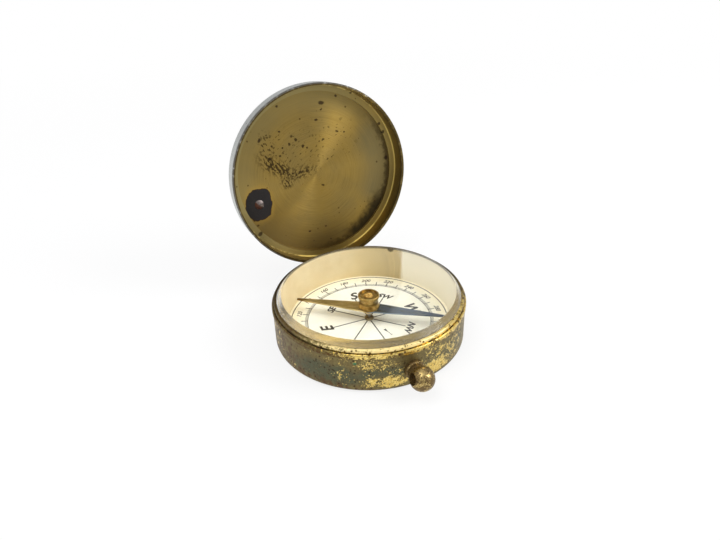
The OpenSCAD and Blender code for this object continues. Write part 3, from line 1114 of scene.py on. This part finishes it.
@dataclass(frozen=True)
class NeedleSteel(Finish):
    """Needle: blued towards north and straw-brown towards south."""

    azimuth: float = -38.0
    blues: Shades = (tone(128, 142, 158), tone(76, 88, 106))
    faded: Colour = tone(118, 122, 118)
    straws: Shades = (tone(216, 198, 150), tone(186, 164, 112))
    brown_tip: Colour = tone(112, 84, 42)

    def paint(self, graph: Graph) -> Paint:
        """Tempers each half in its own colour.

        Args:
            graph: The material's nodes.

        Returns:
            What feeds the shader.
        """
        point = graph.place(turn=(0, 0, -self.azimuth))
        along = graph.split(point)[0]
        stretched = graph.vector("MULTIPLY", point, (0.25, 1.0, 1.0))
        mask, cloud = graph.clouds(stretched, 1.1, (0.45, 0.7))
        brushing = graph.noise(graph.vector("MULTIPLY", point, (0.4, 9.0, 1.0)), 1.0, 2.0)
        blue = graph.shade(along, 5.0, 17.0, *self.blues)
        blue = graph.mix(mask, blue, self.faded)
        straw = graph.shade(cloud, 0.35, 0.65, *self.straws)
        straw = graph.mix(graph.fall(along, -19.0, -15.5), straw, self.brown_tip)
        return dict(
            Base_Color=graph.shade(along, -0.2, 0.2, straw, blue),
            Roughness=cloud * 0.25 + self.roughness, Normal=graph.bump(brushing, 0.01, 0.3))


@dataclass(frozen=True)
class TurnedBrass(Finish):
    """Brass turned on a lathe, darker in its hollows."""

    bright: Colour = tone(208, 174, 100)
    dark: Colour = tone(150, 112, 52)
    grime: Colour = tone(84, 58, 24)
    hollows: tuple[float, ...] = ()

    def paint(self, graph: Graph) -> Paint:
        """Lays turning lines and tarnish on the brass.

        Args:
            graph: The material's nodes.

        Returns:
            What feeds the shader.
        """
        point = graph.place()
        height = graph.turned(point)[2]
        cut = graph.mask(Effect.LINES, Point=point)
        colour = graph.mix(graph.clouds(point, 0.8, (0.35, 0.68))[0], self.bright, self.dark)
        colour = graph.mix(graph.step(cut, 0.5, 0.75) * 0.4, colour, self.dark)
        # Darker bands at the heights of the hollows
        for level in self.hollows:
            colour = graph.mix(graph.band(height, level - 0.35, level + 0.35, 0.3) * 0.7, colour, self.grime)
        pits = graph.mask(Effect.PITS, Point=point, Spacing=0.7, Size=0.2, Share=0.3)
        return dict(
            Base_Color=graph.mix(pits * 0.6, colour, self.grime), Roughness=cut * 0.15 + self.roughness,
            Normal=graph.bump(cut, 0.012, 0.4))


@dataclass(frozen=True)
class Solder(Finish):
    """Solder drop: grey tin with a coppery side."""

    centre: Place = ORIGIN
    tin: Shades = (tone(136, 126, 122), tone(84, 74, 70))
    copper: Colour = tone(98, 66, 54)

    def paint(self, graph: Graph) -> Paint:
        """Shades the drop from tin to copper.

        Args:
            graph: The material's nodes.

        Returns:
            What feeds the shader.
        """
        point = graph.place(tuple(-value for value in self.centre))
        across, _, up = graph.split(point)
        mask, cloud = graph.clouds(point, 1.4, (0.4, 0.7))
        copper = graph.fall(cloud * 1.2 + (across + up), 0.1, 0.9)
        colour = graph.mix(mask, *self.tin)
        return dict(
            Base_Color=graph.mix(copper, colour, self.copper), Roughness=cloud * 0.3 + self.roughness,
            Normal=graph.bump(cloud, 0.08, 0.6))


@dataclass(frozen=True)
class ClearGlass(Finish):
    """Clear glass that lets light through to the dial, with a faint film on it."""

    ior: float = 1.5
    glare: Colour = (0.3, 0.3, 0.3, 1.0)
    tints: Shades = (tone(254, 255, 255), tone(249, 252, 252))
    bevel_r: float = 22.42
    bevel_rough: float = 0.17

    def paint(self, graph: Graph) -> Paint:
        """Clears the glass, grinds its bevel and dulls it slightly in patches.

        Args:
            graph: The material's nodes.

        Returns:
            What feeds the shader.
        """
        point = graph.place()
        mask, film = graph.clouds(point, 0.35, (0.3, 0.8))
        ground = graph.past(graph.turned(point)[0], self.bevel_r, 0.05) * self.bevel_rough
        return dict(
            Base_Color=graph.mix(mask, *self.tints), Transmission_Weight=1.0,
            Roughness=graph.step(film, 0.55, 0.9) * 0.03 + ground, IOR=self.ior, Specular_Tint=self.glare)

    def surface(self, graph: Graph, shader: bpy.types.Node) -> Wire:
        """Lets shadow rays through the glass.

        Args:
            graph: The material's nodes.
            shader: The glass.

        Returns:
            What reaches the material's output.
        """
        shadow = graph.source("ShaderNodeLightPath", "Is Shadow Ray")
        clear = graph.source("ShaderNodeBsdfTransparent", "BSDF")
        return graph.fill(graph.add("ShaderNodeMixShader"), shadow, Wire(graph, shader.outputs[0]), clear)[0]


class Element(Enum):
    """Elements that a mesh is picked by, and where it keeps them."""

    FACE = "faces"
    EDGE = "edges"


class Bench:
    """Modelling steps, done with Blender's operators."""

    @staticmethod
    def clear() -> None:
        """Leaves edit mode and selects nothing."""
        if bpy.context.object and bpy.context.object.mode != "OBJECT":
            bpy.ops.object.mode_set(mode="OBJECT")
        bpy.ops.object.select_all(action="DESELECT")

    @staticmethod
    def grip(obj: Piece) -> None:
        """Selects one piece alone, puts its place into its mesh and opens it in edit mode, all selected.

        Args:
            obj: The piece.
        """
        Bench.clear()
        obj.select_set(True)
        bpy.context.view_layer.objects.active = obj
        bpy.ops.object.transform_apply(location=True, rotation=True, scale=True)
        bpy.ops.object.mode_set(mode="EDIT")
        bpy.ops.mesh.select_all(action="SELECT")

    @staticmethod
    def section(radius: float, width: float, low: float, top: float) -> Piece:
        """An upright rectangle beside Z, in edit mode, to be spun round Z.

        Args:
            radius: Distance of its middle from Z.
            width: Its width.
            low: Height of its foot.
            top: Height of its top.

        Returns:
            The rectangle.
        """
        Bench.clear()
        bpy.ops.mesh.primitive_plane_add(size=MM, location=ORIGIN, rotation=(math.pi / 2, 0, 0))
        piece = bpy.context.object
        Bench.grip(piece)
        bpy.ops.transform.resize(value=(width, 1, top - low), center_override=ORIGIN)
        bpy.ops.transform.translate(value=metres(radius, 0, (low + top) / 2))
        return piece

    @staticmethod
    def spin(steps: int, angle: float, copies: bool = False) -> None:
        """Spins all of the open mesh round Z, as one sweep or as copies, and leaves edit mode.

        Args:
            steps: Number of steps.
            angle: The whole angle, in radians.
            copies: Whether each step is a copy by itself.
        """
        bpy.ops.mesh.select_all(action="SELECT")
        bpy.ops.mesh.spin(steps=steps, dupli=copies, angle=angle, center=ORIGIN, axis=UPWARDS)
        bpy.ops.object.mode_set(mode="OBJECT")

    @staticmethod
    def pick(obj: Piece, element: Element, test: Callable[[Any], bool]) -> None:
        """Selects some faces or edges of the open mesh.

        Args:
            obj: The piece in edit mode.
            element: Faces or edges.
            test: Takes a face or edge, and says whether it is picked.
        """
        bpy.ops.mesh.select_mode(type=element.name)
        bpy.ops.mesh.select_all(action="DESELECT")
        mesh = bmesh.from_edit_mesh(obj.data)
        for item in getattr(mesh, element.value):
            item.select_set(test(item))
        bmesh.update_edit_mesh(obj.data)

    @staticmethod
    def settle(obj: Piece, name: str, smooth: float = 30.0) -> None:
        """Closes a mesh, puts its place into it and names it.

        Args:
            obj: The piece.
            name: Its name.
            smooth: Angle in degrees below which faces shade as one.
        """
        Bench.grip(obj)
        bpy.ops.mesh.remove_doubles(threshold=MERGE_GAP)
        bpy.ops.mesh.normals_make_consistent(inside=False)
        bpy.ops.object.mode_set(mode="OBJECT")
        bpy.ops.object.shade_smooth_by_angle(angle=math.radians(smooth))
        obj.name = name
        obj.data.name = name

    @staticmethod
    def join(pieces: Sequence[Piece]) -> Piece:
        """Joins pieces into the first of them.

        Args:
            pieces: The pieces.

        Returns:
            The joined piece.
        """
        Bench.clear()
        for piece in pieces:
            piece.select_set(True)
        bpy.context.view_layer.objects.active = pieces[0]
        bpy.ops.object.join()
        return pieces[0]

    @staticmethod
    def wear(obj: Piece, material: bpy.types.Material, slot: str, body: str) -> None:
        """Gives a new piece its material and the body that it rides on.

        Args:
            obj: The piece.
            material: Its material.
            slot: The record's material slot; not used.
            body: The body.
        """
        obj.data.materials.clear()
        obj.data.materials.append(material)
        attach(obj, body)
        LOG.info("made %s, riding on %s", obj.name, body)


def dress(finish: Finish, *nodes: str) -> None:
    """Gives solids of the frame one finish.

    Args:
        finish: The finish.
        nodes: Names of the solids.
    """
    material = finish.make()
    for node in nodes:
        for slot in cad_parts[node].material_slots:
            slot.material = material
        LOG.info("dressed %s in %s", node, finish.name)


@dataclass
class Case:
    """Drum, bezel and the case's half of the hinge."""

    inside_r: float = 24.1
    patches: Patches = (
        Patch(-90, 0.2, 170, 1.0, -0.13), Patch(-105, 2.6, 12, 1.6, 0.17), Patch(-65, 4.0, 14, 3.2, 0.09),
        Patch(-36, 5.0, 16, 3.4, 0.01), Patch(-118, 8.2, 22, 1.1, 0.07), Patch(-158, 6.0, 24, 6.0, -0.06),
        Patch(-76, 3.0, 7, 1.6, 0.1),
    )
    greens: Patches = (
        Patch(-138, 4.2, 24, 3.2, 0.7), Patch(-102, 5.6, 14, 1.4, 0.5), Patch(-62, 5.0, 20, 2.8, 0.4),
    )
    browns: Patches = (Patch(170, 5.0, 30, 5.0, 0.6), Patch(-150, 1.0, 30, 1.4, 0.6))
    blooms: Patches = (Patch(-122.3, 8.4, 1.0, 0.35, 0.9),)
    # More bare brass at the front of the bezel and less at the left and the back, partly wear and partly
    # painted light and shade by side; the last patch thins the flecks low on the flange
    bezel_patches: Patches = (
        Patch(-85, 11, 45, 4.0, 0.08), Patch(-172, 11, 40, 4.0, -0.16), Patch(90, 11, 85, 4.0, -0.3),
        Patch(-110, 9.8, 120, 0.6, -0.1),
    )
    crevices: tuple[tuple[float, float], ...] = ((24.5, 10.98), (24.85, 9.55))

    def dress(self) -> None:
        """Finishes the drum, the bezel and the hinge."""
        dress(CaseBrass(
            "case brass, patina", roughness=0.3, inside_r=self.inside_r, patches=self.patches,
            greens=self.greens, browns=self.browns, blooms=self.blooms), "drum")
        dress(BezelBrass(
            "bezel brass, rubbed", roughness=0.27, cover=0.52, pitch=1.1, patches=self.bezel_patches,
            crevices=self.crevices), "bezel_ring")
        hinge = CaseBrass("hinge brass", roughness=0.32, cover=0.46)
        dress(hinge, "hinge_case_knuckles", "hinge_lid_knuckle")
        dress(Clouded("hinge pin steel", roughness=0.3), "hinge_pin")


@dataclass
class Pendant:
    """Ball, collar and nut that a cord or chain ties to."""

    gold: Colour = tone(162, 136, 82)
    pale_gold: Colour = tone(202, 178, 118)
    olive: Colour = tone(116, 95, 56)
    green: Colour = tone(98, 83, 51)

    def dress(self) -> None:
        """Finishes the pendant's pieces."""
        dress(CaseBrass(
            "pendant brass", roughness=0.22, cover=0.46, pitch=1.0, gold=self.gold, pale_gold=self.pale_gold,
            olive=self.olive, green=self.green, foot_brown=2.5), "pendant_ball", "pendant_collar")
        dress(TurnedBrass("nut brass", roughness=0.35), "pendant_nut")


@dataclass
class Lid:
    """Lid with its solder drop."""

    drop: Place = (-17.69, 33.2, 26.8)

    def dress(self) -> None:
        """Finishes the lid and its drop of solder."""
        dress(LidBrass("lid brass, spun", roughness=0.3), "lid")
        dress(Solder("old solder", roughness=0.3, centre=self.drop), "lid_solder_drop")


@dataclass
class Needle:
    """Needle, its cap and jewel, and the point that it turns on."""

    hollows: tuple[float, ...] = (6.8, 8.45)
    cap_bright: Colour = tone(204, 174, 106)
    cap_dark: Colour = tone(134, 102, 50)
    # Grey-brown of the pivot boss: a painted shadow standing in for the cap's shadow on the middle of the
    # card
    boss_bright: Colour = tone(158, 146, 120)
    boss_dark: Colour = tone(118, 106, 84)

    def dress(self) -> None:
        """Finishes the needle and what it turns on."""
        dress(NeedleSteel("needle steel, two tempers", roughness=0.22), "needle")
        dress(TurnedBrass(
            "cap brass", roughness=0.24, bright=self.cap_bright, dark=self.cap_dark, hollows=self.hollows),
            "needle_cap")
        dress(Agate("agate", metallic=0.0, roughness=0.12), "cap_jewel")
        dress(Clouded("pivot steel", roughness=0.2), "pivot_pin")
        # The boss is coloured as painted shadow under the cap
        dress(TurnedBrass(
            "boss brass, dulled", roughness=0.45, bright=self.boss_bright, dark=self.boss_dark), "pivot_boss")


@dataclass
class GlassPane:
    """Thick glass with a wide bevel, made with eased edges."""

    radius: float = 23.68
    low: float = 11.7
    top: float = 13.4
    edge: float = 0.35
    bevel: float = 1.28
    ease: float = 0.06
    lift: float = 0.02
    sides: int = 256

    def build(self) -> None:
        """Models the pane from a disc and puts it in the place of the plain one."""
        low = self.low + self.lift
        upright = self.low + self.edge
        Bench.clear()
        bpy.ops.mesh.primitive_cylinder_add(
            vertices=self.sides, radius=self.radius * MM, depth=(upright - low) * MM,
            location=(0, 0, (upright + low) / 2 * MM))
        pane = bpy.context.object
        Bench.grip(pane)
        Bench.pick(pane, Element.FACE, lambda face: face.normal.z > FACING)
        bpy.ops.mesh.extrude_region_move(TRANSFORM_OT_translate={"value": (0, 0, (self.top - upright) * MM)})
        shrink = (self.radius - self.bevel) / self.radius
        bpy.ops.transform.resize(value=(shrink, shrink, 1), center_override=(0, 0, self.top * MM))
        Bench.pick(
            pane, Element.EDGE, lambda edge: abs(edge.verts[0].co.z - edge.verts[1].co.z) < LEVEL_GAP)
        bpy.ops.mesh.bevel(offset=self.ease * MM, segments=3, profile=0.5)
        Bench.settle(pane, "glass_pane", smooth=60.0)
        flats = pane.modifiers.new("flat faces", "WEIGHTED_NORMAL")
        flats.keep_sharp = True
        flats.weight = 100
        bpy.ops.object.modifier_apply(modifier=flats.name)
        Bench.wear(pane, ClearGlass("clear glass", metallic=0.0, roughness=0.0).make(), "glass", "case")
        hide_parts("glass")


@dataclass
class LinerStrip:
    """Bright strip bent to a flaring ring, with eased corners and a tight seam."""

    foot_r: float = 21.43
    flare: float = 1.2
    sheet: float = 0.35
    low: float = 2.9
    top: float = 11.68
    ease: float = 0.04
    seam: float = 41.0
    gap: float = 0.03
    steps: int = 240

    def build(self) -> None:
        """Bends the strip from its section and puts it in the place of the plain one."""
        strip = Bench.section(self.foot_r + self.sheet / 2, self.sheet, self.low, self.top)
        rim_z = (self.top - self.ease) * MM
        Bench.pick(strip, Element.EDGE, lambda edge: min(vert.co.z for vert in edge.verts) > rim_z)
        bpy.ops.transform.translate(value=metres(self.flare, 0, 0))
        bpy.ops.mesh.select_all(action="SELECT")
        bpy.ops.mesh.bevel(offset=self.ease * MM, segments=2, affect="VERTICES")
        lost = self.gap / self.foot_r
        Bench.spin(self.steps, 2 * math.pi - lost)
        strip.rotation_euler = (0, 0, math.radians(self.seam) + lost / 2)
        Bench.settle(strip, "liner_strip", smooth=40.0)
        finish = LinerBrass("liner brass, lacquered", metallic=0.15, roughness=0.45, seam=self.seam)
        Bench.wear(strip, finish.make(), "liner_brass", "case")
        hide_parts("liner_ring")


class Label(Enum):
    """Points of the compass card: bearing in degrees from north, and distance from the middle."""

    N = (0, 11.9)
    NE = (45, 11.8)
    E = (90, 11.5)
    SE = (135, 10.95)
    S = (180, 11.4)
    SW = (225, 11.2)
    W = (270, 12.2)
    NW = (315, 11.3)


@dataclass
class Dial:
    """Card with its print, and the plate below it."""

    card_z: float = 2.9
    relief: float = 0.012
    ease: float = 0.15
    scale_r: float = 16.2
    scale_w: float = 0.12
    line_r: float = 20.65
    line_w: float = 0.26
    tick_w: float = 0.11
    tick_short: float = 0.8
    tick_long: float = 1.8
    tick_long_w: float = 0.24
    long_ticks: int = 36
    turn: float = -1.7
    number_r: float = 18.75
    number_h: float = 1.2
    number_step: int = 20
    number_bold: float = 0.035
    main_h: float = 3.0
    main_bold: float = 0.14
    half_h: float = 1.8
    half_bold: float = 0.1
    rose_from: float = 1.3
    rose_to: float = 10.2
    rose_w: float = 0.3
    slant: float = 0.28
    arrow_bearing: float = -15.0
    arrow_bars: tuple[tuple[float, ...], ...] = ((6.4, 1.3, 0.7, 0.2), (7.7, 1.5, 0.16), (9.2, 0.2, 0.6))
    letter_steps: int = 4
    ring_steps: int = 180

    def azimuth(self, bearing: float) -> float:
        """Direction in the part's frame of a bearing on the card, in radians."""
        return math.radians(self.turn - 90 - bearing)

    def slab(self, length: float, width: float, far_width: Optional[float] = None) -> Piece:
        """A raised bar of ink that starts at the origin and runs along +X.

        Args:
            length: Length of the bar.
            width: Width at its start.
            far_width: Width at its end, the same if left out.

        Returns:
            The bar.
        """
        Bench.clear()
        bpy.ops.mesh.primitive_plane_add(size=MM, location=ORIGIN)
        bar = bpy.context.object
        Bench.grip(bar)
        bpy.ops.transform.translate(value=(MM / 2, 0, 0))
        bpy.ops.transform.resize(value=(length, width, 1), center_override=ORIGIN)
        bpy.ops.mesh.extrude_region_move(TRANSFORM_OT_translate={"value": (0, 0, self.relief * MM)})
        if far_width is not None:
            Bench.pick(bar, Element.FACE, lambda face: face.normal.x > FACING)
            bpy.ops.transform.resize(value=(1, far_width / width, 1), center_override=(length * MM, 0, 0))
        half_z = self.relief / 2 * MM
        Bench.pick(bar, Element.FACE, lambda face: min(vert.co.z for vert in face.verts) > half_z)
        narrow = min(width, far_width or width)
        bpy.ops.mesh.inset(thickness=self.ease * narrow * MM, depth=self.ease * self.relief * MM)
        bpy.ops.object.mode_set(mode="OBJECT")
        return bar

    def ring(self, radius: float, width: float) -> Piece:
        """A raised ring of ink, spun from its section.

        Args:
            radius: Radius of its middle.
            width: Its width.

        Returns:
            The ring.
        """
        ring = Bench.section(radius, width, self.card_z, self.card_z + self.relief)
        bpy.ops.mesh.delete(type="ONLY_FACE")
        Bench.spin(self.ring_steps, 2 * math.pi)
        return ring

    def word(self, text: str, height: float, bold: float) -> Piece:
        """Raised lettering, centred on the origin.

        Args:
            text: What it says.
            height: Height of its capitals.
            bold: How far its strokes are thickened.

        Returns:
            The lettering as a mesh.
        """
        Bench.clear()
        bpy.ops.object.text_add(location=ORIGIN)
        text_data = bpy.context.object.data
        text_data.body = text
        text_data.align_x = "CENTER"
        text_data.align_y = "CENTER"
        text_data.size = height / CAP_SHARE * MM
        text_data.shear = self.slant
        text_data.offset = bold * MM
        text_data.extrude = self.relief / 2 * MM
        text_data.resolution_u = self.letter_steps
        bpy.ops.object.convert(target="MESH")
        word = bpy.context.object
        word.data.transform(Matrix.Translation((0, 0, self.relief / 2 * MM)))
        return word

    def lay(self, piece: Piece, radius: float, bearing: float, turn: float = 0.0) -> Piece:
        """Puts a piece of print on the card.

        Args:
            piece: The piece, around the origin.
            radius: Distance of its origin from the needle's axis.
            bearing: Bearing of its origin on the card, which its X axis points along.
            turn: Turn of its X axis from there, in radians.

        Returns:
            The piece.
        """
        azimuth = self.azimuth(bearing)
        piece.rotation_euler = (0, 0, azimuth + turn)
        piece.location = metres(radius * math.cos(azimuth), radius * math.sin(azimuth), self.card_z)
        return piece

    def spread(self, piece: Piece, radius: float, count: int) -> Piece:
        """Lays a piece of print at north and copies it evenly round the needle's axis.

        Args:
            piece: The piece, around the origin.
            radius: Distance of its origin from the axis.
            count: How many there are in all.

        Returns:
            The piece with its copies.
        """
        Bench.grip(self.lay(piece, radius, 0))
        Bench.spin(count - 1, math.radians(FULL_TURN / count * (count - 1)), copies=True)
        return piece

    def build_scale(self) -> Piece:
        """Models the degree ring with its ticks.

        Returns:
            The ring.
        """
        short = self.spread(self.slab(self.tick_short, self.tick_w), self.scale_r, FULL_TURN)
        long = self.spread(self.slab(self.tick_long, self.tick_long_w), self.scale_r, self.long_ticks)
        return Bench.join([self.ring(self.scale_r, self.scale_w), short, long])

    def build_numbers(self) -> Piece:
        """Models the bearings in degrees, with their tops outwards.

        Returns:
            The numbers.
        """
        words = []
        for bearing in range(self.number_step, FULL_TURN + 1, self.number_step):
            word = self.word(str(bearing), self.number_h, self.number_bold)
            words.append(self.lay(word, self.number_r, bearing, LETTER_TURN))
        return Bench.join(words)

    def build_letters(self) -> Piece:
        """Models the names of the eight points, with their tops outwards.

        Returns:
            The letters.
        """
        words = []
        for label in Label:
            bearing, radius = label.value
            main = bearing % 90 == 0
            height, bold = (self.main_h, self.main_bold) if main else (self.half_h, self.half_bold)
            words.append(self.lay(self.word(label.name, height, bold), radius, bearing, LETTER_TURN))
        return Bench.join(words)

    def build_rose(self) -> Piece:
        """Lines from the middle to the eight points."""
        return self.spread(self.slab(self.rose_to - self.rose_from, self.rose_w), self.rose_from, len(Label))

    def build_arrow(self) -> Piece:
        """Small dart beside north, for the needle's true reading."""
        bars = [self.lay(self.slab(*sizes), away, self.arrow_bearing) for away, *sizes in self.arrow_bars]
        return Bench.join(bars)

    def build(self) -> None:
        """Models the print and lays it on the card."""
        ink = Ink("black print", metallic=0.0, roughness=0.6).make()
        for name, piece in (
                ("dial_scale", self.build_scale()), ("dial_outer_line", self.ring(self.line_r, self.line_w)),
                ("dial_numbers", self.build_numbers()), ("dial_letters", self.build_letters()),
                ("dial_rose", self.build_rose()), ("dial_arrow", self.build_arrow())):
            Bench.settle(piece, name)
            Bench.wear(piece, ink, "ink", "case")

    def dress(self) -> None:
        """Finishes the card and the plate."""
        dress(Paper("dial card", metallic=0.0, roughness=0.6), "dial_card")
        dress(TurnedBrass("plate brass", roughness=0.4), "dial_plate")


@dataclass(frozen=True)
class Lamp:
    """Square lamp facing the compass: direction from it, distance and side in metres, power in watts."""

    name: str
    towards: Place
    reach: float
    size: float
    power: float

    def hang(self) -> None:
        """Hangs the lamp."""
        Bench.clear()
        bpy.ops.object.light_add(type="AREA", location=Vector(self.towards).normalized() * self.reach)
        lamp = bpy.context.object
        lamp.name = self.name
        lamp.data.size = self.size
        lamp.data.energy = self.power
        lamp.rotation_euler = Vector(self.towards).to_track_quat("Z", "Y").to_euler()


@dataclass
class Studio:
    """Pale floor, soft lamps, world and camera."""

    floor_half: float = 2.0
    floor_drop: float = 0.05
    floor_grey: Colour = (0.92, 0.92, 0.92, 1)
    floor_glow: float = 0.78
    glow_from: float = 90.0
    glow_to: float = 400.0
    sky_low: Colour = (0.5, 0.5, 0.51, 1)
    sky_high: Colour = (0.82, 0.82, 0.83, 1)
    sky_span: tuple[float, float] = (-0.1, 0.8)
    white: Colour = (1, 1, 1, 1)
    lamps: tuple[Lamp, ...] = (
        Lamp("key lamp", (0.68, -0.45, 0.58), 0.55, 0.24, 1.3),
        Lamp("top lamp", (-0.4, -0.05, 1.0), 0.6, 0.36, 0.86),
    )
    lens: float = 32.0
    sensor: float = 36.0
    spot: Place = (-56.68156, -127.12969, 101.07629)
    aim: Place = (59.365996, 1.563812, -24.126412)
    near: float = 0.005
    bounces: int = 36

    def build_floor(self) -> None:
        """Lays the floor just below the case, white to the camera and to what metal and glass show."""
        Bench.clear()
        bpy.ops.mesh.primitive_plane_add(size=2 * self.floor_half, location=metres(0, 0, -self.floor_drop))
        floor = bpy.context.object
        floor.name = "floor"
        material = bpy.data.materials.new("white floor")
        graph = Graph.of(material)
        seen = graph.source("ShaderNodeLightPath", "Is Camera Ray")
        for ray in ("Is Transmission Ray", "Is Glossy Ray"):
            seen = seen | graph.source("ShaderNodeLightPath", ray)
        away = graph.measure("LENGTH", graph.place())
        share = seen * graph.blend(graph.step(away, self.glow_from, self.glow_to), self.floor_glow, 1.0)
        matt = graph.fill(graph.add("ShaderNodeBsdfDiffuse"), Color=self.floor_grey)[0]
        glow = graph.source("ShaderNodeEmission", "Emission")
        mixed = graph.fill(graph.add("ShaderNodeMixShader"), share, matt, glow)[0]
        graph.fill(graph.add("ShaderNodeOutputMaterial"), Surface=mixed)
        floor.data.materials.append(material)

    def build_world(self) -> None:
        """Soft light from all round, brightest overhead, white to the camera."""
        world = bpy.data.worlds.new("soft studio")
        bpy.context.scene.world = world
        graph = Graph.of(world)
        up = graph.split(graph.source("ShaderNodeTexCoord", "Generated"))[2]
        sky = graph.shade(up, *self.sky_span, self.sky_low, self.sky_high)
        camera = graph.source("ShaderNodeLightPath", "Is Camera Ray")
        back = graph.fill(graph.add("ShaderNodeBackground"), Color=graph.mix(camera, sky, self.white))[0]
        graph.fill(graph.add("ShaderNodeOutputWorld"), Surface=back)

    def build_camera(self) -> None:
        """Stands the camera where the photograph was taken from."""
        Bench.clear()
        bpy.ops.object.camera_add(
            location=metres(*self.spot), rotation=[math.radians(angle) for angle in self.aim])
        camera = bpy.context.object
        camera.name = "camera"
        camera.data.sensor_fit = "HORIZONTAL"
        camera.data.sensor_width = self.sensor
        camera.data.lens = self.lens
        camera.data.clip_start = self.near
        bpy.context.scene.camera = camera

    def build(self) -> None:
        """Sets the whole studio up."""
        scene = bpy.context.scene
        scene.view_settings.view_transform = "Standard"
        scene.cycles.max_bounces = self.bounces
        scene.cycles.glossy_bounces = self.bounces
        scene.cycles.transmission_bounces = self.bounces
        self.build_floor()
        self.build_world()
        for lamp in self.lamps:
            lamp.hang()
        self.build_camera()


def main() -> None:
    """Builds and dresses the compass in order."""
    logging.basicConfig(level=logging.INFO, format="%(name)s: %(message)s")
    dial = Dial()
    dial.build()
    LinerStrip().build()
    GlassPane().build()
    for part in (dial, Case(), Pendant(), Lid(), Needle()):
        part.dress()
        LOG.info("finished %s", type(part).__name__)
    Studio().build()
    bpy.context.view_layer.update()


if __name__ == "__main__":
    main()
